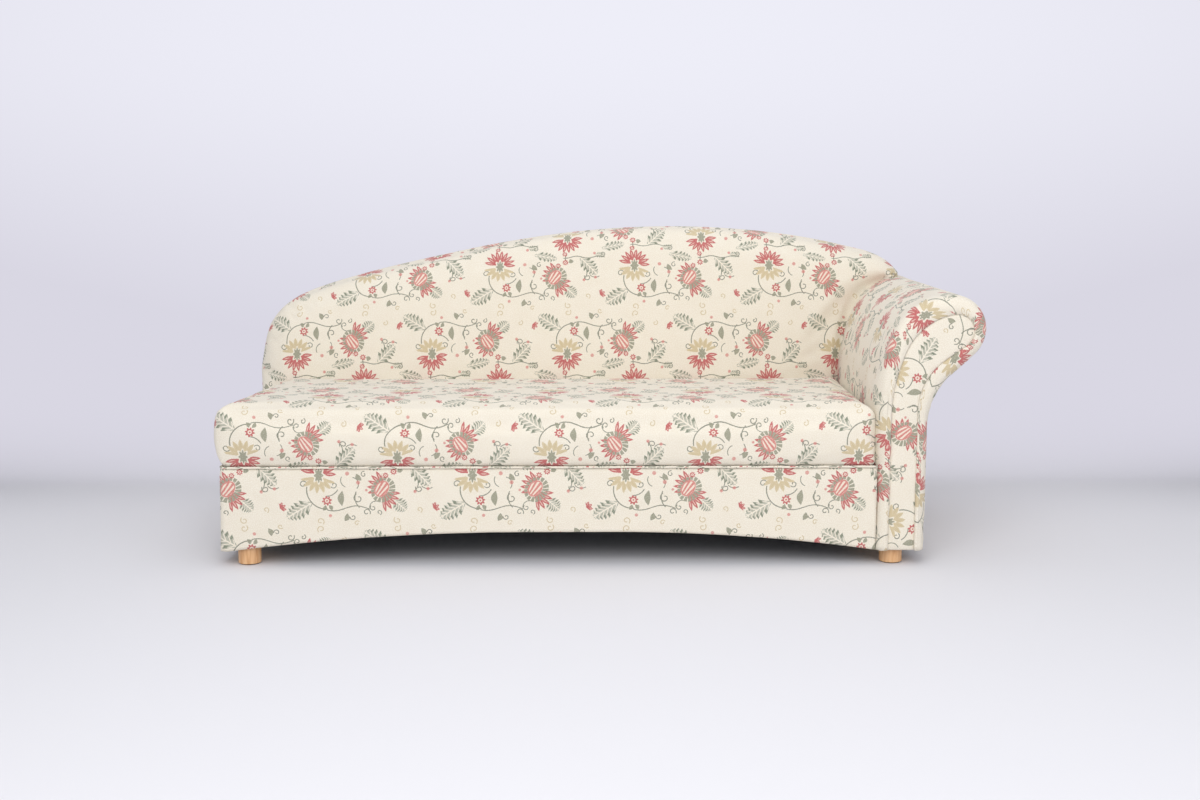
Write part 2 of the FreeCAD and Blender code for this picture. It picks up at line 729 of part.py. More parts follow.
def arch_edges(left, right, base, crown, y):
    """An arched lower edge, from left to right: an arc, a straight middle and an arc."""
    mid_left = size("arch_left")
    mid_right = size("arch_right")
    edges = []
    for outer, inner, forward in ((left, mid_left, True), (right, mid_right, False)):
        run = abs(inner - outer)
        rise = crown - base
        radius = (run**2 + rise**2) / (2 * rise)
        half_way = (outer + inner) / 2
        drop = radius - math.sqrt(radius**2 - (run / 2) ** 2)
        spots = [FreeCAD.Vector(outer, y, base), FreeCAD.Vector(half_way, y, crown - drop)]
        spots.append(FreeCAD.Vector(inner, y, crown))
        edges.append(arc_edge(*(spots if forward else spots[::-1])))
    straight = line_edge(FreeCAD.Vector(mid_left, y, crown), FreeCAD.Vector(mid_right, y, crown))
    return [edges[0], straight, edges[1]]


def border_run(offset, y_end, z):
    """Front edge, rounded left corner and left edge in plan, at a distance inside the border's face."""
    left = size("border_left") + offset
    front = size("border_front") + offset
    corner = size("border_corner") - offset
    turn = corner * (1 - math.sqrt(0.5))
    right = size("frame_right")
    spots = [
        FreeCAD.Vector(right, front, z),
        FreeCAD.Vector(left + corner, front, z),
        FreeCAD.Vector(left + turn, front + turn, z),
        FreeCAD.Vector(left, front + corner, z),
        FreeCAD.Vector(left, y_end, z),
    ]
    edges = [line_edge(spots[0], spots[1]), arc_edge(*spots[1:4]), line_edge(spots[3], spots[4])]
    return edges, spots


def make_border():
    bottom = size("border_bottom")
    rear = size("frame_rear")
    outer, outer_spots = border_run(0, rear, bottom)
    inner, inner_spots = border_run(size("border_thickness"), rear, bottom)
    ends = [line_edge(outer_spots[4], inner_spots[4]), line_edge(inner_spots[0], outer_spots[0])]
    strip = prism(outer + inner + ends, FreeCAD.Vector(0, 0, size("border_top") - bottom))
    left = outer_spots[1].x
    right = size("frame_right")
    front = size("border_front") - 1
    arch = arch_edges(left, right, bottom, size("arch_crown"), front)
    corners = ((right, bottom), (right, 0), (left, 0), (left, bottom))
    spots = [FreeCAD.Vector(x, front, z) for x, z in corners]
    arch += [line_edge(a, b) for a, b in zip(spots, spots[1:])]
    below = prism(arch, FreeCAD.Vector(0, size("border_corner"), 0))
    feature("base_border", strip.cut(below))
    path = Part.Wire(border_run(0, rear, size("seam_height"))[0])
    start = FreeCAD.Vector(right, size("border_front"), size("seam_height"))
    radius = size("piping_diameter") / 2
    turns = [math.radians(45 * count + 22.5) for count in range(8)]
    ring = [start + FreeCAD.Vector(0, math.cos(turn), math.sin(turn)) * radius for turn in turns]
    feature("seam_piping", path.makePipeShell([Part.makePolygon(ring + ring[:1])], True, True))


def cloth_edge(y, z, left, right):
    """The straight rear edge of the cloth under the frame, in three runs."""
    spots = [FreeCAD.Vector(x, y, z) for x in (left, size("arch_left"), size("arch_right"), right)]
    return [line_edge(a, b) for a, b in zip(spots, spots[1:])]


def cloth_outline(over, under):
    """A thin closed outline from an upper and a lower run."""
    ends = [line_edge(over[0].Vertexes[0].Point, under[0].Vertexes[0].Point)]
    ends.append(line_edge(over[-1].Vertexes[-1].Point, under[-1].Vertexes[-1].Point))
    return Part.Wire(Part.__sortEdges__(over + under + ends))


def make_dust_cloth():
    base = size("frame_bottom - clearance")
    crown = size("rail_crown - clearance")
    thick = size("dust_cloth")
    left = size("frame_left + rail_thickness")
    right = size("frame_right - rail_thickness")
    front_y = size("frame_front + clearance")
    rear_y = size("frame_rear - rail_thickness")
    front = cloth_outline(
        arch_edges(left, right, base, crown, front_y),
        arch_edges(left, right, base - thick, crown - thick, front_y),
    )
    rear = cloth_outline(
        cloth_edge(rear_y, base, left, right),
        cloth_edge(rear_y, base - thick, left, right),
    )
    hem = block((left, right), (rear_y, size("frame_rear")), (base - thick, base))
    cloth = Part.makeLoft([front, rear], True, True).fuse(hem)
    air = 1 + size("leg_diameter") / 2
    side = size("block_side") + 1
    rows = {
        "front": (size("frame_front"), size("frame_front + rail_thickness") + side),
        "rear": (size("frame_rear - rail_thickness") - side, size("frame_rear - rail_thickness")),
    }
    for row, span in rows.items():
        leg = FreeCAD.Vector(size("left_leg"), size(row + "_leg"), 0)
        cloth = cloth.cut(Part.makeCylinder(air, 100, leg))
        cloth = cloth.cut(block((left - 1, left + side), span, (0, 200)))
    feature("dust_cloth", cloth)


# Back


def back_moves():
    """The outline of the back, its straight slope as long as the sofa needs, and the height of its foot."""
    turns = [
        (size("back_end_radius"), size("back_end_turn")),
        (size("back_shoulder_radius"), size("back_shoulder_turn")),
        (size("back_slope_radius"), size("back_slope_turn")),
        (0, 0),
        (size("back_crest_radius"), size("back_crest_turn")),
        (size("back_tip_radius"), size("back_tip_turn")),
    ]
    climb = math.radians(90 - sum(turn for radius, turn in turns[:3]))
    edges, tip = chain(0, 0, turns[:3] + turns[4:], 0)
    straight = (size("right_end - back_tip_from_right - left_end") - tip.x) / math.cos(climb)
    turns[3] = (straight, 0)
    edges, tip = chain(0, 0, turns, 0)
    rise = max(edge.BoundBox.ZMax for edge in edges)
    return turns, size("outline_top") - rise


def back_solid(inset, near, far, bottom, rear, ease=None):
    """The leaning back between two distances behind its face, shrunk by an inset, over a level foot."""
    turns, foot = back_moves()
    left = size("left_end")
    low = bottom - 100
    face = size("back_face")
    edges, tip = chain(left, low, [(foot - low, 0)] + turns, inset)
    core = size("core_left")
    hidden = [(tip.x, tip.z - size("back_tip_drop")), (core, size("arm_straight_top")), (core, low)]
    solid = closed_prism(edges, hidden, face + near, face + far)
    if ease:
        inside = Part.makePolygon([FreeCAD.Vector(x, face + near, z) for x, z in hidden])
        rim = face_edges(solid, face + near, low)
        solid = ease(solid, [edge for edge in rim if middle_of(edge).distToShape(inside)[0] > 1e-3])
    return leaned(solid).common(block(EVERYWHERE, (-FAR, rear), (bottom, FAR)))


def middle_of(edge):
    return Part.Vertex(edge.valueAt((edge.FirstParameter + edge.LastParameter) / 2))


def leaned(shape):
    """Tip an upright piece of the back over to its lean."""
    hinge = FreeCAD.Vector(0, size("back_face"), size("back_crease"))
    shape = shape.copy()
    shape.rotate(hinge, FreeCAD.Vector(1, 0, 0), -size("back_lean"))
    return shape


def leaning_slab(near, far):
    """All that lies between two distances behind the face of the back."""
    face = size("back_face")
    return leaned(block(EVERYWHERE, (face + near, face + far), (0, FAR)))


def arm_prism(inset, y_front, y_rear, bottom):
    """The scroll outline of the arm along Y, shrunk by an inset."""
    turns = [
        (size("arm_inner_radius"), size("arm_inner_turn")),
        (size("arm_shoulder_radius"), size("arm_shoulder_turn")),
        (size("arm_top_flat"), 0),
        (size("arm_roll_radius"), size("arm_roll_turn")),
        (size("arm_under_flat"), 0),
    ]
    start = (size("arm_inner"), size("arm_straight_top"), bottom)
    return scroll_prism(start, turns, size("arm_neck_radius"), inset, (y_front, y_rear))


def scroll_prism(start, turns, neck, inset, depth):
    """A scroll that rises, rolls over to the right and comes back down to its foot."""
    left, straight_top, bottom = start
    turned_by = sum(turn for radius, turn in turns)
    moves = [(straight_top - bottom, 0)] + turns + [(neck, 180 - turned_by)]
    edges, end = chain(left, bottom, moves, inset)
    return closed_prism(edges, [(end.x, bottom)], *depth)


def back_form(inset, bottom, rear, ease):
    """The upholstered back, shrunk by an inset, with its eased edge and its cut for the arm."""
    solid = back_solid(inset, inset, FAR, bottom, rear, ease)
    return solid.cut(arm_prism(-inset - size("clearance"), -FAR, rear + PAST, bottom - PAST))


def make_back_soft():
    cover = size("cover_thickness")
    air = size("clearance")
    pad = size("back_pad")
    foot = size("squab_bottom")
    rear = size("frame_rear")
    roll = size("back_edge_radius")
    bevel = (roll - cover) * ROLL_SHARE

    def rolled(solid, edges):
        return solid.makeFillet(roll, edges)

    def eased(solid, edges):
        return solid.makeChamfer(bevel, edges)

    shell = back_form(0, foot, rear, rolled).cut(back_form(cover, foot - 2 * PAST, rear + 2 * PAST, eased))
    feature("back_cover", shell)
    foam_foot = size("sill_top + clearance")
    depth = cover + air + pad
    core = back_solid(depth, depth, FAR, foam_foot - PAST, rear + PAST)
    core = core.cut(arm_prism(-depth, 0, rear + PAST, 0))
    feature("back_foam", back_form(cover + air, foam_foot, rear, eased).cut(core))
    bottom = size("border_bottom")
    panel = back_solid(0, 0, FAR, bottom, size("rear_end"))
    panel = panel.common(block(EVERYWHERE, (rear + air, size("rear_end")), (0, FAR)))
    panel = panel.cut(arm_prism(-air, 0, size("rear_end") + PAST, bottom - PAST))
    overhang = block((size("left_end") - PAST, size("border_left")), (0, size("rear_end") + PAST), (0, foot))
    feature("outside_back", panel.cut(overhang))


def make_back_frame():
    cover = size("cover_thickness")
    air = size("clearance")
    inset = cover + size("back_pad") + 2 * air
    rear = size("frame_rear")
    thick = size("back_board")
    band = size("back_band")
    lap = size("strap_lap")
    strap = size("strap_thickness")
    sill = size("sill_top")
    board_face = inset + 2 * strap + air
    arm_side = size("arm_inner") - inset
    arm_room = arm_prism(-inset, 0, rear + PAST, 0)

    whole = ("frame_left", "frame_right - cover_thickness - clearance")
    board = box("sill_board", whole, ("sill_front", "frame_rear"), ("frame_top", "sill_top"))
    keep("back_sill", bored("back_sill", board, sill_bores("sill_bore")))

    core = back_solid(inset, 0, FAR, sill, rear).cut(arm_room)
    hollow = back_solid(inset + band, -PAST, FAR, sill - PAST, rear + PAST)
    ring = core.cut(hollow)
    front_slab = leaning_slab(board_face, board_face + thick)
    rear_slab = block(EVERYWHERE, (rear - thick, rear), (0, FAR))
    feature("back_crest_board", ring.common(front_slab))
    feature("back_rear_board", ring.common(rear_slab))
    left = size("left_end") + inset + band
    lower = block((left, arm_side), (0, rear), (sill, sill + band))
    feature("back_lower_board", lower.common(core).common(front_slab))
    side = block((arm_side - band, arm_side), (0, rear), (sill + band, FAR))
    feature("back_side_board", side.common(core).common(hollow).common(front_slab))

    between = leaning_slab(board_face + thick, FAR)
    between = between.common(block(EVERYWHERE, (0, rear - thick), (sill, FAR)))
    first = size("left_end") + inset
    last = arm_side - thick
    for count in range(5):
        x = first + (last - first) * count / 4
        rib = block((x, x + thick), (0, rear), (sill, FAR)).common(core).common(between)
        feature(f"back_rib_{count + 1}", rib)

    reach = back_solid(inset + band - lap, 0, FAR, sill + band - lap, rear)
    reach = reach.cut(arm_prism(-inset - band + lap, 0, rear, 0))
    width = size("strap_width")
    uprights = []
    for x in spread(left, arm_side - band, int(size("back_upright_straps"))):
        strip = block((x - width / 2, x + width / 2), (0, rear), (0, FAR))
        uprights.append(strip.common(reach).common(leaning_slab(board_face - strap, board_face)))
    levels = []
    for z in spread(sill + band, size("back_straps_top"), int(size("back_level_straps"))):
        strip = block(EVERYWHERE, (0, rear), (z - width / 2, z + width / 2))
        slab = leaning_slab(board_face - 2 * strap - air, board_face - strap - air)
        levels.append(strip.common(reach).common(slab))
    feature("back_upright_webbing", Part.makeCompound(uprights))
    feature("back_level_webbing", Part.makeCompound(levels))


def make_back_bolts():
    bolts = []
    for count, (x, y) in enumerate(sill_bolt_places()):
        long = "back_bolt_reach"
        shank = rod(f"back_shank_{count}", (x, y, "sill_top - back_bolt_reach"), "bolt_diameter", long)
        head = hexagon(f"back_head_{count}", (x, y, "sill_top"), "bolt_head_diameter", "bolt_head_height")
        bolts.append(joined(f"back_bolt_{count}", [shank, head]))
    keep("back_bolts", group("back_bolts", bolts))


# Scroll arm


def facing_prism(inset, y_front, y_rear, bottom):
    """The outline of the front facing along Y, shrunk by an inset."""
    turns = [
        (size("facing_inner_radius"), size("facing_inner_turn")),
        (size("facing_shoulder_radius"), size("facing_shoulder_turn")),
        (size("facing_tip_radius"), size("facing_tip_turn")),
        (size("facing_under_flat"), 0),
    ]
    start = (size("arm_inner + facing_left"), size("facing_straight_top"), bottom)
    return scroll_prism(start, turns, size("facing_neck_radius"), inset, (y_front, y_rear))


def below_seat(right):
    """The strip of the arm that the mounting board fills, up to a place to its right."""
    left = size("arm_inner") - 10
    return block((left, right), (size("mount_front - clearance"), FAR), (0, size("frame_top + clearance")))


def make_arm_covers():
    cover = size("cover_thickness")
    air = size("clearance")
    front = size("arm_front")
    rear = size("frame_rear")
    bottom = size("border_bottom")
    radius = size("arm_edge_radius")
    outer = bevelled(arm_prism(0, front, rear, bottom), front, radius * ROLL_SHARE, bottom)
    inner = arm_prism(cover, front + cover, rear + PAST, bottom - PAST)
    inner = bevelled(inner, front + cover, radius * ROLL_SHARE, bottom - PAST)
    window = facing_prism(size("facing_lap"), front - PAST, front + 2 * cover, bottom - PAST)
    shell = outer.cut(inner).cut(window)
    middle = size("arm_inner + facing_left") + size("facing_tip_radius") * 0.75
    outside = block((middle, size("right_end") + PAST), (front - PAST, rear + PAST), (0, size("arm_split")))
    holes = [
        Part.makeCylinder(size("bolt_diameter + bore_play") / 2, 60, spot, FreeCAD.Vector(1, 0, 0))
        for spot in (FreeCAD.Vector(size("arm_inner") - PAST, size(y), size("bolt_height")) for y in ARM_BOLTS)
    ]
    feature("arm_inner_cover", shell.cut(outside).cut(Part.makeCompound(holes)))
    feature("arm_outer_cover", shell.common(outside))
    facing = facing_prism(0, size("front_end"), size("front_end + facing_thickness"), bottom)
    feature("arm_front_facing", bevelled(facing, size("front_end"), size("facing_bevel"), bottom))
    feature("arm_rear_facing", arm_prism(0, rear + air, size("rear_end"), bottom))


def make_arm_padding():
    cover = size("cover_thickness")
    air = size("clearance")
    pad = size("arm_pad")
    skin = size("arm_skin")
    body = size("arm_body")
    rear = size("frame_rear")
    foot = size("frame_bottom")
    depth = cover + air
    bevel = size("arm_edge_radius") * ROLL_SHARE
    foam = bevelled(arm_prism(depth, body, rear, foot), body, bevel, foot)
    foam = foam.cut(arm_prism(depth + pad, body - PAST, rear + PAST, foot - PAST))
    room = below_seat(size("arm_inner + arm_core"))
    feature("arm_foam", foam.cut(room))
    sheet_out = arm_prism(depth + pad + air, body, rear, foot)
    sheet_in = arm_prism(depth + pad + air + skin, body - PAST, rear + PAST, foot - PAST)
    feature("arm_hardboard", sheet_out.cut(sheet_in).cut(room))


def make_arm_frame():
    core = size("arm_core")
    body = size("arm_body")
    rear = size("frame_rear")
    thick = size("template_thickness")
    foot = size("template_foot")
    middle = (body + rear) / 2
    places = {"front": body, "middle": middle - thick / 2, "rear": rear - thick}
    for name, y in places.items():
        feature(f"arm_template_{name}", arm_prism(core, y, y + thick, foot))

    side = ("core_left", "core_left + arm_rail_width")
    board = box("arm_rail_board", side, ("arm_body", "frame_rear"), ("frame_bottom", "template_foot"))
    holes = []
    for row in ("front", "rear"):
        spot = ("right_leg", row + "_leg", "frame_bottom - 1")
        diameter = "leg_bolt_diameter + bore_play"
        holes.append(rod("arm_rail_bore_" + row, spot, diameter, "arm_rail_height + 2"))
    keep("arm_bottom_rail", bored("arm_bottom_rail", board, holes))
    side = ("mount_left", "mount_right")
    mount = box("mount_board", side, ("mount_front", "frame_rear"), ("frame_bottom", "frame_top"))
    diameter = "bolt_diameter + bore_play"
    bores = bolt_rods("mount_bore", ARM_BOLTS, diameter, "mount_left - 1", "mount_right + 1")
    keep("arm_mounting_board", bored("arm_mounting_board", mount, bores))
    make_battens(places, thick, core)


def make_battens(places, thick, core):
    """Battens between the scroll boards: two low, one half way up, one under the top, one in the roll."""
    left = size("core_left")
    flat = size("batten_thickness")
    wide = size("batten_width")
    low = size("frame_top") + 10
    far_side = left + size("arm_rail_width") - flat
    upright = [(left, low), (far_side, low), (left + flat, size("arm_straight_top") + 100)]
    top = size("roll_height") + flat
    roll = size("right_end") - size("arm_roll_radius")
    spots = [(x, x + flat, z, z + wide) for x, z in upright]
    spots.append((roll - wide, roll, top, top + flat))
    spots.append((roll + flat, roll + 2 * flat, top - wide - PAST, top - PAST))
    battens = []
    for first, last in (("front", "middle"), ("middle", "rear")):
        start = places[first] + thick
        scroll = arm_prism(core, start, places[last], size("template_foot"))
        for x_low, x_high, z_low, z_high in spots:
            batten = block((x_low, x_high), (start, places[last]), (z_low, z_high))
            battens.append(batten.common(scroll))
    feature("arm_battens", Part.makeCompound(battens))


def make_arm_bolts():
    nut_face = "frame_right - rail_thickness"
    nut_start = f"{nut_face} - nut_height"
    along = (1, 0, 0)
    shanks = bolt_rods("arm_shank", ARM_BOLTS, "bolt_diameter", f"{nut_start} - 3", "mount_right")
    bolts = []
    nuts = []
    for count, (shank, y) in enumerate(zip(shanks, ARM_BOLTS)):
        spot = ("mount_right", y, "bolt_height")
        head = hexagon(f"arm_head_{count}", spot, "bolt_head_diameter", "bolt_head_height", along)
        bolts.append(joined(f"arm_bolt_{count}", [shank, head]))
        nut = hexagon(f"arm_nut_{count}", (nut_start, y, "bolt_height"), "nut_diameter", "nut_height", along)
        spot = (f"{nut_start} - 1", y, "bolt_height")
        hole = rod(f"arm_nut_bore_{count}", spot, "bolt_diameter", "nut_height + 2", along)
        nuts.append(bored(f"arm_bored_nut_{count}", nut, [hole]))
    keep("arm_bolts", group("arm_bolts", bolts))
    keep("arm_nuts", group("arm_nuts", nuts))


make_legs()
make_corner_blocks()
make_seat_frame()
make_seat_webbing()
make_squab()
make_border()
make_dust_cloth()
make_back_frame()
make_back_soft()
make_back_bolts()
make_arm_frame()
make_arm_padding()
make_arm_covers()
make_arm_bolts()
doc.recompute()

for thing in doc.Objects:
    if "Invalid" in thing.State or "Error" in thing.State:
        raise RuntimeError(f"{thing.Name} did not compute: {thing.State}")
for label, thing in nodes.items():
    if thing.Shape.isNull() or not thing.Shape.isValid():
        raise RuntimeError(f"{label} has no valid shape")

os.makedirs("parts", exist_ok=True)
for label, thing in nodes.items():
    thing.Shape.exportStep(f"parts/{label}.step")
    print(label, len(thing.Shape.Solids), round(thing.Shape.Volume / 1000, 1), "cm3")
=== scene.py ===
# Looks of the recamier: floral covers, piping, turned legs and a plain studio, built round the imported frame.
# Metres. X runs to the right, Y to the back and Z up, as in the frame.

import json
import math

import bmesh
import bpy
import numpy as np
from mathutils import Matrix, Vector, noise
from mathutils.geometry import delaunay_2d_cdt


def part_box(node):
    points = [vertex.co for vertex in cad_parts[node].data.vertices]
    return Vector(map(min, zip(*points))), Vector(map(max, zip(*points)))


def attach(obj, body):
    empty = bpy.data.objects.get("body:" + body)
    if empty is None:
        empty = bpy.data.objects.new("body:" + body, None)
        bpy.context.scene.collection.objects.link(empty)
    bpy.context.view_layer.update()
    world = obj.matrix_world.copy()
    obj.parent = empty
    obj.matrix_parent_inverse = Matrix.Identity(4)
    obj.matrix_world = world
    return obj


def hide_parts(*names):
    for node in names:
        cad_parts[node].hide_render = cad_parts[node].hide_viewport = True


COVER_SLOT = "floral_cloth"

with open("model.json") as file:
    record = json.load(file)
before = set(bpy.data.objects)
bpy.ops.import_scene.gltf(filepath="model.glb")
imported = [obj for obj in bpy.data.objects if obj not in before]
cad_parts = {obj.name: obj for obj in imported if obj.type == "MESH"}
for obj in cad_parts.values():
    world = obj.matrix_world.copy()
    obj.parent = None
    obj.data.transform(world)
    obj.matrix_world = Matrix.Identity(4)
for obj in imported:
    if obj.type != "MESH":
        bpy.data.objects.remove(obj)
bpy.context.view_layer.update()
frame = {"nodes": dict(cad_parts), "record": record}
nodes = frame["nodes"]

# Sizes that the covers share with the frame

SEAT_LOW, SEAT_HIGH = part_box("seat_cover")
BORDER_LOW, BORDER_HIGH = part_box("base_border")
PIPING_LOW, PIPING_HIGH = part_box("seam_piping")
OUTSIDE_LOW, OUTSIDE_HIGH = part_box("outside_back")
SEAM = (PIPING_LOW.z + PIPING_HIGH.z) / 2
ARM_INNER, ARM_REAR, ARM_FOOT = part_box("arm_rear_facing")[0]
ARM_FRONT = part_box("arm_front_facing")[1].y
FACING_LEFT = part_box("arm_front_facing")[0].x
BACK_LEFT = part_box("back_cover")[0].x
BACK_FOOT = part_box("back_cover")[0].z
BACK_RIGHT, BACK_REAR, BACK_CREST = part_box("back_cover")[1]
BACK_FACE = OUTSIDE_HIGH.y - 0.230
BACK_CREASE = 0.410
BACK_LEAN = math.radians(9)
BACK_ROLL = 0.045
BACK_UNDER = 0.06
BACK_TAIL = 0.10

# How the covers are cut and held

SQUAB_MESH = 0.0095
SQUAB_STAND = 0.0015
SQUAB_EDGE = 0.027
SQUAB_RIGHT_EDGE = 0.034
SQUAB_LEFT_EDGE = 0.042
SQUAB_LEFT_SPREAD = 0.110
SQUAB_FULLNESS = 0.007
SEAM_HOLD = 0.006
END_PANEL = 0.03
BACK_MESH = 0.012
BACK_SWELL = 0.007
CREASE_DEPTH = 0.026
CREASE_REACH = 0.012
CREASE_FALL = 0.008
ARM_WRAP = 0.020
ARM_BULGE = 0.0075
BORDER_CORNER = 0.014
ARCH_RISE = 0.050
ARCH_LEFT = -0.200
ARCH_RIGHT = 0.030
RIPPLE = 0.0012
CORD_RADIUS = 0.0030
CORD_CORNER = 0.017
QUARTER = math.pi / 2

# Outlines in the XZ plane as (radius, degrees) or (length, 0); they set off upwards and turn right

ARM_MOVES = [
    (0.420 - ARM_FOOT, 0),
    (0.546, 21.6),
    (0.129, 59.7),
    (0.036, 0),
    (0.084, 145.9),
    (0.0895, 0),
    (0.1655, -47.2),
]
FACING_MOVES = [
    (0.395 - ARM_FOOT, 0),
    (0.424, 24.3),
    (0.1616, 56.2),
    (0.0001, 0),
    (0.0463, 154.3),
    (0.0658, 0),
    (0.1568, -54.8),
]
BACK_MOVES = [
    (0.622, 10.8),
    (0.1725, 57.8),
    (1.718, 8.9),
    (0, 0),
    (2.412, 26.9),
    (0.1625, 41.6),
]
BACK_STRAIGHT = 3
ARM_COUNTS = (30, 24, 18, 5, 32, 11, 16)
BACK_COUNTS = (24, 36, 40, 50, 140, 24)


def walk(start, moves, counts):
    """Points, outward normals and run length along a chain of straights and arcs."""
    here = np.array(start, float)
    heading = QUARTER
    run = 0.0
    points, normals, runs = [], [], []
    for (reach, turn), count in zip(moves, counts):
        shares = np.linspace(0, 1, count, endpoint=False)
        if turn == 0:
            ahead = np.array((math.cos(heading), math.sin(heading)))
            out = np.array((-ahead[1], ahead[0]))
            points += [here + ahead * reach * share for share in shares]
            normals += [out] * count
            runs += [run + reach * share for share in shares]
            here = here + ahead * reach
            run += reach
            continue
        side = math.copysign(1, turn)
        angle = math.radians(abs(turn))
        out = np.array((-math.sin(heading), math.cos(heading)))
        middle = here - out * reach * side
        for share in list(shares) + [1.0]:
            facing = heading - side * angle * share
            normal = np.array((-math.sin(facing), math.cos(facing)))
            spot = middle + normal * reach * side
            if share < 1:
                points.append(spot)
                normals.append(normal)
                runs.append(run + reach * angle * share)
        here = spot
        heading -= side * angle
        run += reach * angle
    points.append(here)
    normals.append(np.array((-math.sin(heading), math.cos(heading))))
    runs.append(run)
    return np.array(points), np.array(normals), np.array(runs)


def down_to(outline, foot, count):
    """An outline lengthened by a straight run down to its foot."""
    points, normals, runs = outline
    drop = points[-1][1] - foot
    shares = np.linspace(0, 1, count + 1)[1:, None]
    more = points[-1] - np.array((0, 1)) * drop * shares
    points = np.vstack((points, more))
    normals = np.vstack((normals, np.repeat([[1.0, 0.0]], count, 0)))
    runs = np.concatenate((runs, runs[-1] + drop * shares[:, 0]))
    return points, normals, runs


def back_outline():
    """The upright outline of the back, before it leans, from the seat round to its drop behind the arm."""
    moves = list(BACK_MOVES)
    climb = math.radians(90 - sum(turn for _, turn in moves[:BACK_STRAIGHT]))
    missing = BACK_RIGHT - walk((BACK_LEFT, 0), moves, BACK_COUNTS)[0][-1][0]
    moves[BACK_STRAIGHT] = (missing / math.cos(climb), 0)
    rise = walk((BACK_LEFT, 0), moves, BACK_COUNTS)[0][:, 1].max()
    roll_level = BACK_CREASE + BACK_ROLL
    top = roll_level + (BACK_CREST - roll_level + BACK_ROLL * math.sin(BACK_LEAN)) / math.cos(BACK_LEAN)
    low = BACK_FOOT - BACK_UNDER
    whole = walk((BACK_LEFT, low), [(top - rise - low, 0)] + moves, (30, *BACK_COUNTS))
    return down_to(whole, whole[0][-1][1] - BACK_TAIL, 14)


ARM_OUTLINE = down_to(walk((ARM_INNER, ARM_FOOT), ARM_MOVES, ARM_COUNTS), ARM_FOOT, 30)
FACING_OUTLINE = down_to(walk((FACING_LEFT, ARM_FOOT), FACING_MOVES, ARM_COUNTS), ARM_FOOT, 30)
BACK_OUTLINE = back_outline()


def leaned(points):
    """Tip upright points of the back over to its lean."""
    y = points[:, 1] - BACK_FACE
    z = points[:, 2] - BACK_CREASE
    c, s = math.cos(BACK_LEAN), math.sin(BACK_LEAN)
    return np.stack((points[:, 0], BACK_FACE + y * c + z * s, BACK_CREASE + z * c - y * s), 1)


def depth_of_back(points):
    """How far the upright back runs from its face so that it ends at the rear once it leans."""
    fall = (points[:, 1] - BACK_CREASE) * math.sin(BACK_LEAN)
    return (BACK_REAR - BACK_FACE - fall) / math.cos(BACK_LEAN)


# Mesh helpers


def make_mesh(name, points, faces, cloth=None):
    """A smooth object; cloth holds one pair of cloth coordinates for each point."""
    mesh = bpy.data.meshes.new(name)
    mesh.from_pydata([tuple(map(float, p)) for p in points], [], [tuple(map(int, f)) for f in faces])
    mesh.validate()
    mesh.update()
    if cloth is not None:
        set_cloth(mesh, cloth)
    mesh.polygons.foreach_set("use_smooth", [True] * len(mesh.polygons))
    piece = bpy.data.objects.new(name, mesh)
    bpy.context.scene.collection.objects.link(piece)
    return piece


def corners_of(mesh):
    """The point that each corner of each face stands on."""
    index = np.zeros(len(mesh.loops), np.int32)
    mesh.loops.foreach_get("vertex_index", index)
    return index


def set_corners(mesh, places):
    """Write a pair of cloth coordinates, in metres of cloth, for each corner of each face."""
    layer = mesh.uv_layers.get("cloth") or mesh.uv_layers.new(name="cloth")
    layer.uv.foreach_set("vector", places.astype(np.float32).ravel())


def set_cloth(mesh, cloth):
    """Write a pair of cloth coordinates for each point."""
    set_corners(mesh, np.asarray(cloth, float)[corners_of(mesh)])


def read_points(piece, kind):
    """The place or the normal of each point."""
    found = np.zeros(len(piece.data.vertices) * 3)
    piece.data.vertices.foreach_get(kind, found)
    return found.reshape(-1, 3)


def co_of(piece):
    """The place of each point."""
    return read_points(piece, "co")


def move_to(piece, points):
    """Give each point a new place."""
    piece.data.vertices.foreach_set("co", np.asarray(points, np.float32).ravel())
    piece.data.update()


def stood(flat, y):
    """Points of the XZ plane at one depth, or each at its own."""
    return np.stack((flat[:, 0], np.broadcast_to(y, len(flat)), flat[:, 1]), 1)


def grid_faces(rows, columns):
    """Squares between rows of points that follow each other."""
    faces = []
    for r in range(rows - 1):
        for c in range(columns - 1):
            a = r * columns + c
            faces.append((a, a + 1, a + columns + 1, a + columns))
    return faces


def corner_arc(left, front, radius, steps):
    """The border's plan round its front left corner."""
    angles = [QUARTER * step / steps for step in range(1, steps + 1)]
    return [(left + radius * (1 - math.sin(a)), front + radius * (1 - math.cos(a))) for a in angles]


def wobble(points, scale, seed):
    """Soft noise from -1 to 1 at each point."""
    shift = Vector((seed * 7.1, seed * 3.7, seed * 1.3))
    return np.array([noise.fractal(Vector(p) / scale + shift, 0.7, 2.0, 3) for p in points])


def apply_modifiers(piece):
    """Make what the modifiers do part of the mesh."""
    graph = bpy.context.evaluated_depsgraph_get()
    graph.update()
    made = bpy.data.meshes.new_from_object(piece.evaluated_get(graph), depsgraph=graph)
    piece.modifiers.clear()
    piece.data = made


def thicken(piece, thickness, offset=-1):
    """Give an open cover its thickness."""
    solid = piece.modifiers.new("thickness", "SOLIDIFY")
    solid.thickness = thickness
    solid.offset = offset
    apply_modifiers(piece)


def weld(piece, gap):
    """Join points that lie within a gap, and turn all faces outward."""
    shape = bmesh.new()
    shape.from_mesh(piece.data)
    bmesh.ops.remove_doubles(shape, verts=shape.verts, dist=gap)
    bmesh.ops.recalc_face_normals(shape, faces=shape.faces)
    shape.to_mesh(piece.data)
    shape.free()


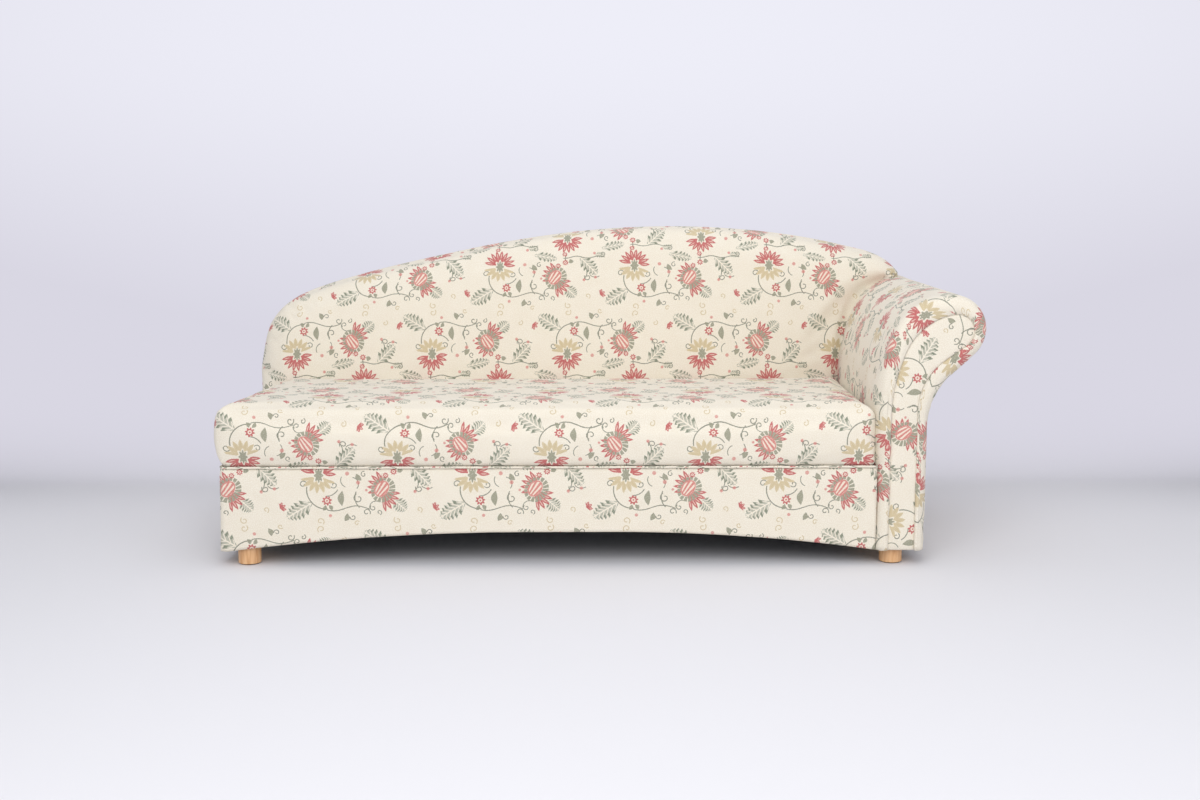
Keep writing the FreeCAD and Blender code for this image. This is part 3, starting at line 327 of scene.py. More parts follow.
def dress(piece, body_nodes, cloth):
    """Put a cloth cover in the place of soft nodes of the frame."""
    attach(piece, "root")
    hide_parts(*body_nodes)
    piece.data.materials.clear()
    piece.data.materials.append(cloth)


def filled(ring, spacing):
    """Triangles over a closed ring of 2-D points, with points inside it at a spacing."""
    ring = np.asarray(ring)
    low, high = ring.min(0), ring.max(0)
    spots = []
    row = 0
    y = low[1] + spacing * 0.5
    while y < high[1]:
        x = low[0] + spacing * (0.25 if row % 2 else 0.75)
        while x < high[0]:
            spots.append((x, y))
            x += spacing
        y += spacing * 0.866
        row += 1
    spots = np.array(spots)
    keep = inside_ring(spots, ring) & (distance_to(spots, ring) > spacing * 0.45)
    points = [Vector(p) for p in np.vstack((ring, spots[keep]))]
    edges = [(i, (i + 1) % len(ring)) for i in range(len(ring))]
    found = delaunay_2d_cdt(points, edges, [], 1, 1e-7)
    return np.array([(p.x, p.y) for p in found[0]]), [tuple(f) for f in found[2]]


def inside_ring(spots, ring):
    """Which spots lie inside a closed ring."""
    x, y = spots[:, 0], spots[:, 1]
    inside = np.zeros(len(spots), bool)
    for a, b in zip(ring, np.roll(ring, -1, 0)):
        cuts = (a[1] > y) != (b[1] > y)
        rise = b[1] - a[1]
        cross = a[0] + (y - a[1]) * (b[0] - a[0]) / (rise if abs(rise) > 1e-12 else 1e-12)
        inside ^= cuts & (x < cross)
    return inside


def distance_to(spots, line, closed=True):
    """Least distance from each spot to a run of points."""
    best = np.full(len(spots), 1e9)
    ends = np.roll(line, -1, 0) if closed else line[1:]
    for a, b in zip(line, ends):
        run = b - a
        length = max(float(run @ run), 1e-18)
        share = np.clip(((spots - a) @ run) / length, 0, 1)
        best = np.minimum(best, np.linalg.norm(spots - (a + share[:, None] * run), axis=1))
    return best


def depth_in_arm(points):
    """How deep points lie inside the arm's scroll; negative outside it."""
    flat = points[:, [0, 2]]
    depth = distance_to(flat, ARM_OUTLINE[0])
    return np.where(inside_ring(flat, ARM_OUTLINE[0]), depth, -depth)


def drop_hidden(piece, limit):
    """Delete the faces that lie wholly inside the arm."""
    hidden = depth_in_arm(co_of(piece)) > limit
    shape = bmesh.new()
    shape.from_mesh(piece.data)
    shape.verts.ensure_lookup_table()
    doomed = [f for f in shape.faces if all(hidden[v.index] for v in f.verts)]
    bmesh.ops.delete(shape, geom=doomed, context="FACES")
    shape.to_mesh(piece.data)
    shape.free()


# How the covers behave in the cloth simulation

STUFFED_CLOTH = {
    "quality": 3,
    "mass": 0.4,
    "tension_stiffness": 25,
    "compression_stiffness": 15,
    "shear_stiffness": 8,
    "bending_stiffness": 4,
    "use_pressure": True,
    "vertex_group_mass": "pinned",
}
SWELL_FRAMES = 14


def plump(piece, pressure, cap, pinned):
    """Swell a cover under pressure from inside, each point by no more than the cap."""
    start = co_of(piece)
    group = piece.vertex_groups.new(name="pinned")
    group.add([int(i) for i in np.nonzero(pinned)[0]], 1.0, "REPLACE")
    cloth = piece.modifiers.new("cloth", "CLOTH")
    for name, value in STUFFED_CLOTH.items():
        setattr(cloth.settings, name, value)
    cloth.settings.uniform_pressure_force = pressure
    cloth.settings.effector_weights.gravity = 0
    cloth.collision_settings.use_collision = False
    cloth.collision_settings.use_self_collision = False
    cloth.point_cache.frame_start = 1
    cloth.point_cache.frame_end = SWELL_FRAMES
    scene = bpy.context.scene
    for number in range(1, SWELL_FRAMES + 1):
        scene.frame_set(number)
    apply_modifiers(piece)
    piece.vertex_groups.clear()
    scene.frame_set(1)
    moved = co_of(piece) - start
    length = np.linalg.norm(moved, axis=1)
    share = np.minimum(1, cap / np.maximum(length, 1e-9))
    move_to(piece, start + moved * share[:, None])


# Materials are written as formulas


class Value:
    """A socket that adds math nodes to its tree as it is used in a formula."""

    def __init__(self, tree, socket):
        self.tree = tree
        self.socket = socket

    def math(self, kind, *others):
        node = add_node(self.tree, "ShaderNodeMath", dict(enumerate((self, *others))), operation=kind)
        return Value(self.tree, node.outputs[0])

    def __add__(self, other):
        return self.math("ADD", other)

    def __sub__(self, other):
        return self.math("SUBTRACT", other)

    def __mul__(self, other):
        return self.math("MULTIPLY", other)

    def __truediv__(self, other):
        return self.math("DIVIDE", other)

    def less(self, limit, blur):
        """1 where the value is under a limit, with a soft edge."""
        span = {"Value": self, "From Min": limit, "From Max": limit + blur, "To Min": 1, "To Max": 0}
        node = add_node(self.tree, "ShaderNodeMapRange", span, interpolation_type="SMOOTHSTEP")
        return Value(self.tree, node.outputs[0])

    def fma(self, by, plus):
        """The value times a number plus a number."""
        return self.math("MULTIPLY_ADD", by, plus)

    def both(self, other):
        return self.math("MULTIPLY", other)

    def either(self, other):
        return self.math("MAXIMUM", other)

    def mod(self, step):
        return self.math("FLOORED_MODULO", step)

    def flip(self):
        """1 minus the value."""
        node = add_node(self.tree, "ShaderNodeMath", {0: 1, 1: self}, operation="SUBTRACT")
        return Value(self.tree, node.outputs[0])


def add_node(tree, kind, inputs, **settings):
    """A new node with its settings, and with each input linked to a value or socket or set to a number."""
    node = tree.nodes.new(kind)
    for name, item in settings.items():
        setattr(node, name, item)
    for name, item in inputs.items():
        item = item.socket if isinstance(item, Value) else item
        if isinstance(item, bpy.types.NodeSocket):
            tree.links.new(item, node.inputs[name])
        else:
            node.inputs[name].default_value = item
    return node


TURNS = ("A", "B", "C", "D", "E", "F")


def new_group(name, outputs, inputs=()):
    """A node group that takes a place in a strip, where its motif lies, and some numbers.

    Single numbers only: they let the renderer work motif by motif and keep few values at a time.
    """
    tree = bpy.data.node_groups.new(name, "ShaderNodeTree")
    for socket in ("X", "Y", *TURNS, *inputs):
        tree.interface.new_socket(socket, in_out="INPUT", socket_type="NodeSocketFloat")
    for output in outputs:
        tree.interface.new_socket(output, in_out="OUTPUT", socket_type="NodeSocketFloat")
    source = tree.nodes.new("NodeGroupInput")
    parts = {output.name: Value(tree, output) for output in source.outputs if output.name}
    x, y = parts["X"], parts["Y"]
    parts["x"] = x.fma(parts["A"], y.fma(parts["B"], parts["C"]))
    parts["y"] = x.fma(parts["D"], y.fma(parts["E"], parts["F"]))
    return tree, parts


def polar(parts):
    """Distance from the middle of a motif and the turn from its upright, in radians."""
    x, y = parts["x"], parts["y"]
    return x.fma(x, y * y).math("SQRT"), x.math("ARCTAN2", y)


def end_group(tree, results):
    """Hand a group's results out by name."""
    add_node(tree, "NodeGroupOutput", results)
    return tree


def petal_fan_group():
    """Pointed petals round a centre, within a sector that opens upwards; radius 1."""
    tree, parts = new_group("petal_fan", ("Petals", "Ribs"), ("Density", "Sector"))
    radius, turn = polar(parts)
    sector = turn.math("ABSOLUTE").less(parts["Sector"], 0.05)
    wave = turn.fma(parts["Density"], 0.5).mod(1.0).math("SUBTRACT", 0.5).math("ABSOLUTE")
    notch = 0.58
    edge = wave.fma(-2.0, 1.0).math("POWER", 0.7).fma(1 - notch, notch)
    petals = radius.less(edge, 0.04).both(sector)
    ribs = wave.less(0.06, 0.08).both((radius - 0.66).math("ABSOLUTE").less(0.1, 0.1)).both(sector)
    return end_group(tree, {"Petals": petals, "Ribs": ribs})


def leaf_group():
    """A deeply toothed leaf along X from 0 to 1, with pale side veins."""
    tree, parts = new_group("toothed_leaf", ("Leaf",))
    x = parts["x"]
    across = parts["y"].math("ABSOLUTE")
    swell = (x * math.pi).math("SINE").math("MAXIMUM", 0.0).math("POWER", 0.6)
    tooth = (x - across * 1.1).fma(6.0, 0.0).mod(1.0)
    half = swell * tooth.fma(-0.15, 0.32)
    leaf = across.less(half, 0.02).both(x.math("COMPARE", 0.5, 0.5))
    side = (tooth - 0.25).math("ABSOLUTE").less(0.08, 0.1).both(across.less(half * 0.75, 0.03))
    veins = side.either(across.less(0.012, 0.02))
    heart = across.less(half * 0.6, 0.05) * 0.42
    return end_group(tree, {"Leaf": leaf.both(veins.fma(-0.8, 1.0) - heart)})


def blade_group():
    """A plain leaf along X from 0 to 1, a little bent."""
    tree, parts = new_group("plain_leaf", ("Leaf",))
    bow = (parts["x"] * math.pi).math("SINE")
    offset = (parts["y"] - bow * 0.08).math("ABSOLUTE")
    leaf = offset.less(bow.math("MAXIMUM", 0.0) * 0.19, 0.02)
    return end_group(tree, {"Leaf": leaf.both(parts["x"].math("COMPARE", 0.5, 0.5))})


def blossom_group():
    """A small round flower of pointed lobes with a pale ring round its eye; radius 1."""
    tree, parts = new_group("blossom", ("Petals", "Eye"))
    radius, turn = polar(parts)
    edge = (turn * 8.0).math("COSINE").fma(0.18, 0.8)
    eye = (radius - 0.3).math("ABSOLUTE").less(0.1, 0.06)
    return end_group(tree, {"Petals": radius.less(edge, 0.1), "Eye": eye})


def bud_group():
    """A closed flower: a striped tulip held by a crescent of striped leaf; about 1.4 tall."""
    tree, parts = new_group("striped_bud", ("Oval", "Stripes", "Crescent"))
    x, y = parts["x"] + 0.08, parts["y"]
    oval_size = (x * x * 3.6 + y * y * 1.9).math("SQRT")
    stripes = (x / y.fma(0.55, 0.75)).math("MULTIPLY", 26.0).math("SINE").less(-0.25, 0.4)
    outer = (parts["x"] * parts["x"] * 2.1 + y * y * 1.5).math("SQRT").less(0.82, 0.03)
    bars = (parts["x"].math("ARCTAN2", y) * 17.0).math("SINE").less(0.55, 0.3)
    crescent = outer.both(oval_size.less(0.64, 0.02).flip()).both(bars)
    oval = oval_size.less(0.6, 0.04)
    stripes = stripes.both(oval_size.less(0.5, 0.05))
    return end_group(tree, {"Oval": oval, "Stripes": stripes, "Crescent": crescent})


def arc_group():
    """A thin arc of radius 1 round the origin, either side of the upright."""
    tree, parts = new_group("arc", ("Line",), ("Width", "Reach"))
    radius, turn = polar(parts)
    line = (radius - 1.0).math("ABSOLUTE").less(parts["Width"], 0.02)
    return end_group(tree, {"Line": line.both(turn.math("ABSOLUTE").less(parts["Reach"], 0.03))})


def curl_group():
    """A tendril that winds in from radius 1."""
    tree, parts = new_group("curl", ("Line",), ("Width",))
    radius, turn = polar(parts)
    path = turn.fma(0.72 / (2 * math.pi), 0.64)
    return end_group(tree, {"Line": (radius - path).math("ABSOLUTE").less(parts["Width"], 0.06)})


def placed(x, y, group, spot, angle=0.0, scale=(1, 1), **inputs):
    """An instance of a motif, turned by an angle in degrees: its outputs by name."""
    node = add_node(x.tree, "ShaderNodeGroup", {"X": x, "Y": y}, node_tree=group)
    c, s = math.cos(math.radians(angle)), math.sin(math.radians(angle))
    for names, along, up, size in (("ABC", c, s, scale[0]), ("DEF", -s, c, scale[1])):
        shift = -(along * spot[0] + up * spot[1])
        for name, number in zip(names, (along, up, shift)):
            node.inputs[name].default_value = number / size
    for name, number in inputs.items():
        node.inputs[name].default_value = number
    return {output.name: Value(x.tree, output) for output in node.outputs}


# The floral repeat, in millimetres. Each strip is the one below it, turned over and moved by half a repeat.
# A motif is its place, its angle in degrees and its size; what crosses a strip's edge gets its twin.

REPEAT_ACROSS = 400.0
STRIP_TALL = 177.5
OVERHANG = 85.0
LINE = 0.95
RED_FANS = [
    ((0, 136), 8, 46, 17, 1.65),
    ((176, 98), -68, 50, 19, 0.85),
    ((162, 84), 128, 50, 19, 0.75),
    ((298, 44), 60, 17, 9, 1.2),
]
GOLD_FANS = [((0, 130), 186, 46, 15, 1.3)]
BUDS = [((168, 93), -36, 52)]
HEARTS = [((1, 131), 0, 19)]
TOOTHED = [
    ((-19, 58), 211, 76, 76),
    ((240, 157), -46, 72, 68),
    ((103, 168), -13, 70, 50),
    ((196, 66), -42, 42, 62),
    ((283, 166), 356, 30, 30),
]
BLADES = [
    ((60, 50), 88, 40, 42),
    ((18, 52), 240, 16, 26),
    ((26, 52), 300, 16, 26),
    ((112, 118), 128, 22, 34),
    ((74, 30), 250, 22, 34),
    ((206, 140), 20, 15, 34),
]
BLOSSOMS = [((21, 64), 13), ((196, 141), 9), ((194, 168), 8), ((175, 131), 8)]
BERRIES = [
    ((282, 171), 5),
    ((285, 96), 5),
    ((103, 112), 6),
    ((75, 136), 6),
    ((251, 88), 5),
    ((124, 92), 4),
    ((29, 24), 5),
]
ARCS = [
    ((19, 92), 50, 222, 52),
    ((149, 46), 17, 130, 52),
    ((228, 154), 32, 180, 26),
    ((86, 108), 18, 20, 60),
    ((76, 118), 18, 200, 50),
    ((285, 118), 22, 262, 40),
    ((230, 112), 30, 350, 40),
    ((130, 72), 36, 190, 36),
    ((20, 110), 34, 300, 30),
]
CURLS = [
    ((103, 70), 13, 200),
    ((124, 33), 10, 60),
    ((141, 45), 8, 220),
    ((157, 33), 7, 20),
    ((-40, 108), 10, 100),
    ((40, 106), 9, 300),
    ((118, 134), 8, 160),
    ((262, 96), 10, 240),
    ((306, 168), 8, 20),
    ((88, 20), 8, 260),
]
GOLD_CURLS = [((3, 9), 10, 40), ((204, 12), 10, 220), ((98, 4), 7, 120), ((262, 40), 8, 20)]


def twins(items, reach_at):
    """The motifs of a strip with the twins of those that reach over its edges."""
    found = [(*item, 1) for item in items]
    for item in items:
        (x, y), reach = item[0], item[reach_at]
        for edge in (0, STRIP_TALL):
            if abs(y - edge) < reach:
                across = (x - REPEAT_ACROSS / 2 + OVERHANG) % REPEAT_ACROSS - OVERHANG
                found.append(((across, 2 * edge - y), *item[1:], -1))
    return found


def folded_place(across, up):
    """The place within a strip, from a place on the cloth."""
    strip = (up / STRIP_TALL).math("FLOOR")
    odd = strip.mod(2.0)
    share = up / STRIP_TALL - strip
    y = (share + odd * share.fma(-2.0, 1.0)) * STRIP_TALL
    x = (across + odd * (REPEAT_ACROSS / 2) + OVERHANG).mod(REPEAT_ACROSS) - OVERHANG
    return x, y


def wave_line(x, y, level, swing, crest, period, span):
    """A thin wavy stem between two places along X."""
    path = (x - crest).math("MULTIPLY", 2 * math.pi / period).math("COSINE").fma(swing, level)
    line = (y - path).math("ABSOLUTE").less(LINE, 0.7)
    middle = (span[0] + span[1]) / 2
    return line.both((x - middle).math("ABSOLUTE").less(middle - span[0], 1.5))


def dot(x, y, spot, r):
    """A soft-edged berry."""
    along, up = x - spot[0], y - spot[1]
    return along.fma(along, up * up).less(r * r * 0.5, r * r * 0.5)


def floral_group():
    """The woven figure of the cloth: a mask for each thread, laid motif by motif."""
    fan, leaf, blade = petal_fan_group(), leaf_group(), blade_group()
    blossom, bud, arc, curl = blossom_group(), bud_group(), arc_group(), curl_group()
    tree, parts = new_group("floral_repeat", THREADS)
    x, y = folded_place(parts["X"], parts["Y"])
    masks = {}

    def lay(thread, mask):
        masks[thread] = masks[thread].either(mask) if thread in masks else mask

    for spot, angle, r in BUDS:
        closed = placed(x, y, bud, spot, angle, (r, r))
        lay("Rose", closed["Oval"])
        lay("Sage", closed["Crescent"])
        lay("Pale", closed["Stripes"])
        bare = closed["Oval"].either(closed["Crescent"])
    for spot, angle, r in HEARTS:
        halo = placed(x, y, blossom, spot, angle, (r * 0.95, r * 1.25))["Petals"]
        lay("Sage", placed(x, y, blossom, spot, angle, (r * 0.62, r))["Petals"])
        bare = bare.either(halo).flip()
    for thread, rows in (("Red", RED_FANS), ("Gold", GOLD_FANS)):
        for spot, angle, r, count, sector, side in twins(rows, 2):
            density = count / (2 * math.pi)
            petals = placed(x, y, fan, spot, -angle * side, (r, r * side), Density=density, Sector=sector)
            lay(thread, petals["Petals"].both(bare))
            lay("Pale" if thread == "Red" else "Stem", petals["Ribs"].both(bare) * 0.7)
    for spot, angle, long, wide, side in twins(TOOTHED, 2):
        lay("Green", placed(x, y, leaf, spot, angle * side, (long, wide * side))["Leaf"])
    for spot, angle, long, wide, side in twins(BLADES, 2):
        lay("Sage", placed(x, y, blade, spot, angle * side, (long, wide * side))["Leaf"])
    for spot, r, side in twins(BLOSSOMS, 1):
        flower = placed(x, y, blossom, spot, 10, (r, r))
        lay("Red", flower["Petals"])
        lay("Pale", flower["Eye"])
    for spot, r, side in twins(BERRIES, 1):
        lay("Rose", dot(x, y, spot, r) * 0.8)
    for spot, r, angle, half in ARCS:
        reach = math.radians(half)
        lay("Stem", placed(x, y, arc, spot, angle - 90, (r, r), Width=LINE / r, Reach=reach)["Line"])
    for thread, rows in (("Stem", CURLS), ("Gold", GOLD_CURLS)):
        for spot, r, angle, side in twins(rows, 1):
            lay(thread, placed(x, y, curl, spot, angle * side, (r, r * side), Width=LINE / r)["Line"])
    lay("Stem", wave_line(x, y, 43.5, 6.5, 97.0, 118.0, (22.0, 132.0)))
    lay("Stem", wave_line(x, y, 158.0, 3.0, 229.0, 66.0, (190.0, 312.0)))
    return end_group(tree, masks)


def srgb(red, green, blue):
    """A colour as a screen shows it, from 0 to 255, in linear light and opaque."""
    found = []
    for part in (red, green, blue):
        part /= 255
        found.append(part / 12.92 if part <= 0.04045 else ((part + 0.055) / 1.055) ** 2.4)
    return (*found, 1)


# The cloth's ground, its threads in the order in which they lie over it, and the woods as light and dark

GROUND = srgb(244, 238, 224)
GROUND_FLECK = srgb(226, 214, 192)
THREADS = {
    "Stem": srgb(128, 130, 114),
    "Sage": srgb(152, 151, 130),
    "Green": srgb(124, 132, 112),
    "Gold": srgb(208, 190, 152),
    "Red": srgb(190, 90, 90),
    "Rose": srgb(208, 126, 118),
    "Pale": srgb(240, 226, 208),
}
MM_PER_METRE = 1000
WEAVE_MM = 0.9
BEECH = (srgb(234, 190, 142), srgb(206, 150, 100))
PINE = (srgb(214, 184, 140), srgb(180, 142, 96))


def new_material(name, settings):
    """A material with plain settings on its own shader."""
    material = bpy.data.materials.new(name)
    material.use_nodes = True
    surface = material.node_tree.nodes["Principled BSDF"]
    for socket, value in settings.items():
        surface.inputs[socket].default_value = value
    return material, material.node_tree, surface


def add_noise(tree, place, scale, detail, distortion=0.0):
    """Soft noise over a place."""
    inputs = {"Vector": place, "Scale": scale, "Detail": detail, "Distortion": distortion}
    return add_node(tree, "ShaderNodeTexNoise", inputs)


def add_bump(tree, surface, height, strength, distance):
    """Fine relief on a surface."""
    node = add_node(tree, "ShaderNodeBump", {"Height": height, "Strength": strength, "Distance": distance})
    tree.links.new(node.outputs[0], surface.inputs["Normal"])


def blended(tree, factor, first, second):
    """One colour that turns into another with the factor."""
    node = add_node(tree, "ShaderNodeMix", {"Factor": factor, "A": first, "B": second}, data_type="RGBA")
    return node.outputs["Result"]


def split_vector(tree, vector):
    """The X, Y and Z of a vector."""
    return [Value(tree, output) for output in add_node(tree, "ShaderNodeSeparateXYZ", {0: vector}).outputs]


def object_place(tree):
    """The place in the piece's own frame."""
    return add_node(tree, "ShaderNodeTexCoord", {}).outputs["Object"]


def floral_material():
    """Woven cloth with the floral figure, a little uneven, by the map named cloth."""
    looks = {"Roughness": 0.86, "Sheen Weight": 0.25, "Sheen Roughness": 0.5, "Specular IOR Level": 0.25}
    material, tree, surface = new_material(COVER_SLOT, looks)
    cloth = add_node(tree, "ShaderNodeUVMap", {}, uv_map="cloth").outputs[0]
    to_mm = {0: cloth, "Scale": MM_PER_METRE}
    place = add_node(tree, "ShaderNodeVectorMath", to_mm, operation="SCALE").outputs[0]
    waver = add_noise(tree, place, 0.35, 1).outputs["Color"]
    wavered = {0: waver, 1: (1.6, 1.6, 0), 2: place}
    spot = add_node(tree, "ShaderNodeVectorMath", wavered, operation="MULTIPLY_ADD").outputs[0]
    x, y = split_vector(tree, spot)[:2]
    figure = placed(x, y, floral_group(), (0, 0))
    fleck = Value(tree, add_noise(tree, place, 0.42, 3).outputs["Fac"])
    broken = fleck.less(0.5, 0.2) * 0.35 + 0.6
    slub = Value(tree, add_noise(tree, place, 0.02, 5).outputs["Fac"])
    mottle = slub * 0.35 + fleck.less(0.46, 0.12) * 0.5
    colour = blended(tree, mottle, GROUND, GROUND_FLECK)
    for thread, tint in THREADS.items():
        colour = blended(tree, figure[thread].both(broken), colour, tint)
    tree.links.new(colour, surface.inputs["Base Color"])
    across, up = split_vector(tree, place)[:2]
    warp = (across * (math.pi / WEAVE_MM)).math("SINE")
    weft = (up * (math.pi / WEAVE_MM)).math("SINE")
    add_bump(tree, surface, warp * weft * 0.35 + fleck, 0.35, 0.0012)
    return material


def wood_material(name, colours, roughness, scale):
    """Straight-grained wood with pores, along the piece's own Z."""
    light, dark = colours
    material, tree, surface = new_material(name, {"Roughness": roughness})
    along_grain = {"Vector": object_place(tree), "Scale": (scale, scale, scale * 0.12)}
    stretch = add_node(tree, "ShaderNodeMapping", along_grain)
    grain = add_noise(tree, stretch.outputs[0], 9, 6, 0.6).outputs["Fac"]
    ramp = add_node(tree, "ShaderNodeValToRGB", {0: grain})
    for stop, position, colour in zip(ramp.color_ramp.elements, (0.3, 0.62), (dark, light)):
        stop.position = position
        stop.color = colour
    tree.links.new(ramp.outputs[0], surface.inputs["Base Color"])
    add_bump(tree, surface, grain, 0.15, 0.0004)
    return material


def plain_material(name, colour, roughness, scale, depth, metallic=0.0):
    """A fine-grained surface: felt, foam, cloth lining, webbing or plated steel."""
    material, tree, surface = new_material(name, {"Roughness": roughness, "Metallic": metallic})
    grain = add_noise(tree, object_place(tree), scale, 4).outputs["Fac"]
    darker, lighter = ((*[min(1, part * share) for part in colour[:3]], 1) for share in (0.8, 1.15))
    tree.links.new(blended(tree, grain, darker, lighter), surface.inputs["Base Color"])
    add_bump(tree, surface, grain, 0.3, depth)
    return material


# Where the repeat starts on each piece, in metres of cloth

SEAT_START = np.array((0.078, 0.163))
BACK_START = np.array((0.113, 0.268))
BASE_START = np.array((0.071, 0.112))
ARM_START = np.array((0.241, 0.092))
FACING_START = np.array((0.317, 0.176))
CORD_START = 0.31


def make_squab(cloth):
    """The seat's squab: one stuffed form over the border."""
    piece = bpy.data.objects.new("squab", nodes["seat_foam"].data.copy())
    bpy.context.scene.collection.objects.link(piece)
    remesh = piece.modifiers.new("remesh", "REMESH")
    remesh.mode = "VOXEL"
    remesh.voxel_size = SQUAB_MESH
    remesh.use_smooth_shade = True
    apply_modifiers(piece)
    start = co_of(piece)
    move_to(piece, round_ends(start + read_points(piece, "normal") * SQUAB_STAND))
    plump(piece, 4.0, 0.008, co_of(piece)[:, 2] < SEAM + SEAM_HOLD)
    map_squab(piece, start)
    dress(piece, ("seat_cover", "seat_foam"), cloth)


def round_ends(points):
    """Rounder upper edges at both ends of the squab, and a fuller left end."""
    low, high = SEAT_LOW, SEAT_HIGH
    found = points.copy()
    depth = np.clip((found[:, 1] - low.y) / (high.y - low.y), 0, 1)
    left_radius = SQUAB_LEFT_EDGE + SQUAB_LEFT_SPREAD * depth
    for edge, way, radius in ((low.x, 1, left_radius), (high.x, -1, SQUAB_RIGHT_EDGE)):
        x = (found[:, 0] - edge) * way
        into = np.maximum(radius - x, 0)
        above = np.maximum(found[:, 2] - (high.z - radius), 0)
        share = np.minimum(1, radius / np.maximum(np.hypot(into, above), 1e-9))
        corner = (into > 0) & (above > 0)
        found[:, 0] += np.where(corner, into * (1 - share) * way, 0)
        found[:, 2] -= np.where(corner, above * (1 - share), 0)
    height = np.clip((found[:, 2] - SEAM) / (high.z - SEAM), 0, 1)
    near_end = np.clip((low.x + 0.06 - found[:, 0]) / 0.06, 0, 1)
    found[:, 0] -= SQUAB_FULLNESS * np.sin(height * math.pi) * near_end
    return found


def map_squab(piece, start):
    """Cloth coordinates of the squab: front and top are one length of cloth, the end is its own panel."""
    low = SEAT_LOW
    front = low.y + SQUAB_EDGE
    shoulder = SEAT_HIGH.z - SQUAB_EDGE
    y, z = start[:, 1], start[:, 2]
    angle = np.arctan2(np.maximum(front - y, 0), np.maximum(z - shoulder, 1e-9))
    climb = z - SEAM
    edge = shoulder - SEAM
    round_edge = edge + SQUAB_EDGE * (QUARTER - angle)
    over_top = edge + SQUAB_EDGE * QUARTER + y - front
    on_top = y > front
    run = np.where(z < shoulder, climb, round_edge)
    run = np.where(on_top, np.where(z < shoulder - 0.02, climb, over_top), run)
    flat = np.stack((start[:, 0], run), 1)
    side = np.stack((low.x - (y - low.y), climb), 1)
    at_corners = corners_of(piece.data)
    at_end = np.zeros(len(at_corners), bool)
    for face in piece.data.polygons:
        x, y, z = start[list(face.vertices)].mean(0)
        on_end = x < low.x + END_PANEL and z < shoulder + 0.012 and y - low.y > x - low.x
        at_end[face.loop_start : face.loop_start + face.loop_total] = on_end
    set_corners(piece.data, np.where(at_end[:, None], side[at_corners], flat[at_corners]) - SEAT_START)


def make_back(cloth):
    """The back: a leaning padded face that rolls over its arched edge to the rear."""
    points, normals = BACK_OUTLINE[:2]
    rim = points - normals * BACK_ROLL
    rows, cloths = [], []
    roll_steps, band_steps = 9, 26
    for step in range(roll_steps + 1):
        angle = QUARTER * step / roll_steps
        out = rim + normals * BACK_ROLL * math.sin(angle)
        rows.append(stood(out, BACK_FACE + BACK_ROLL * (1 - math.cos(angle))))
        cloths.append(rim + normals * BACK_ROLL * angle)
    band = depth_of_back(points) - BACK_ROLL
    for step in range(1, band_steps + 1):
        depth = band * step / band_steps
        rows.append(stood(points, BACK_FACE + BACK_ROLL + depth))
        cloths.append(rim + normals * (BACK_ROLL * QUARTER + depth)[:, None])
    inside_arm = [(ARM_INNER + 0.07, 0.50), (ARM_INNER + 0.03, 0.42), (ARM_INNER + 0.03, rim[0][1])]
    flat, triangles = filled(np.vstack((rim, inside_arm)), BACK_MESH)
    strip = np.vstack(rows)
    faces = [face[::-1] for face in grid_faces(len(rows), len(points))]
    faces += [tuple(len(strip) + i for i in face) for face in triangles]
    cloth_points = np.vstack(cloths + [flat]) - BACK_START
    piece = make_mesh("back_pad", np.vstack((strip, stood(flat, BACK_FACE))), faces, cloth_points)
    weld(piece, 1e-5)
    move_to(piece, leaned(shaped_face(co_of(piece), rim)))
    drop_hidden(piece, 0.006)
    start = co_of(piece)
    pinned = (start[:, 1] > BACK_REAR - 0.004) | (start[:, 2] < 0.38) | (depth_in_arm(start) > -0.002)
    plump(piece, 2.0, 0.008, pinned)
    thicken(piece, 0.004)
    dress(piece, ("back_cover", "back_foam"), cloth)


def shaped_face(co, rim):
    """The back's upright face, fuller in the middle and drawn in beside the arm."""
    front = co[:, 1] < BACK_FACE + 1e-4
    inside = distance_to(co[:, [0, 2]], rim, closed=False)
    above_tuck = np.clip((co[:, 2] - BACK_FOOT - 0.10) / 0.10, 0, 1)
    swell = BACK_SWELL * (1 - np.exp(-inside / 0.09)) * above_tuck
    beside_arm = np.minimum(depth_in_arm(leaned(co)) + CREASE_REACH, 0)
    co[:, 1] += (CREASE_DEPTH * np.exp(beside_arm / CREASE_FALL) - swell) * front
    return co


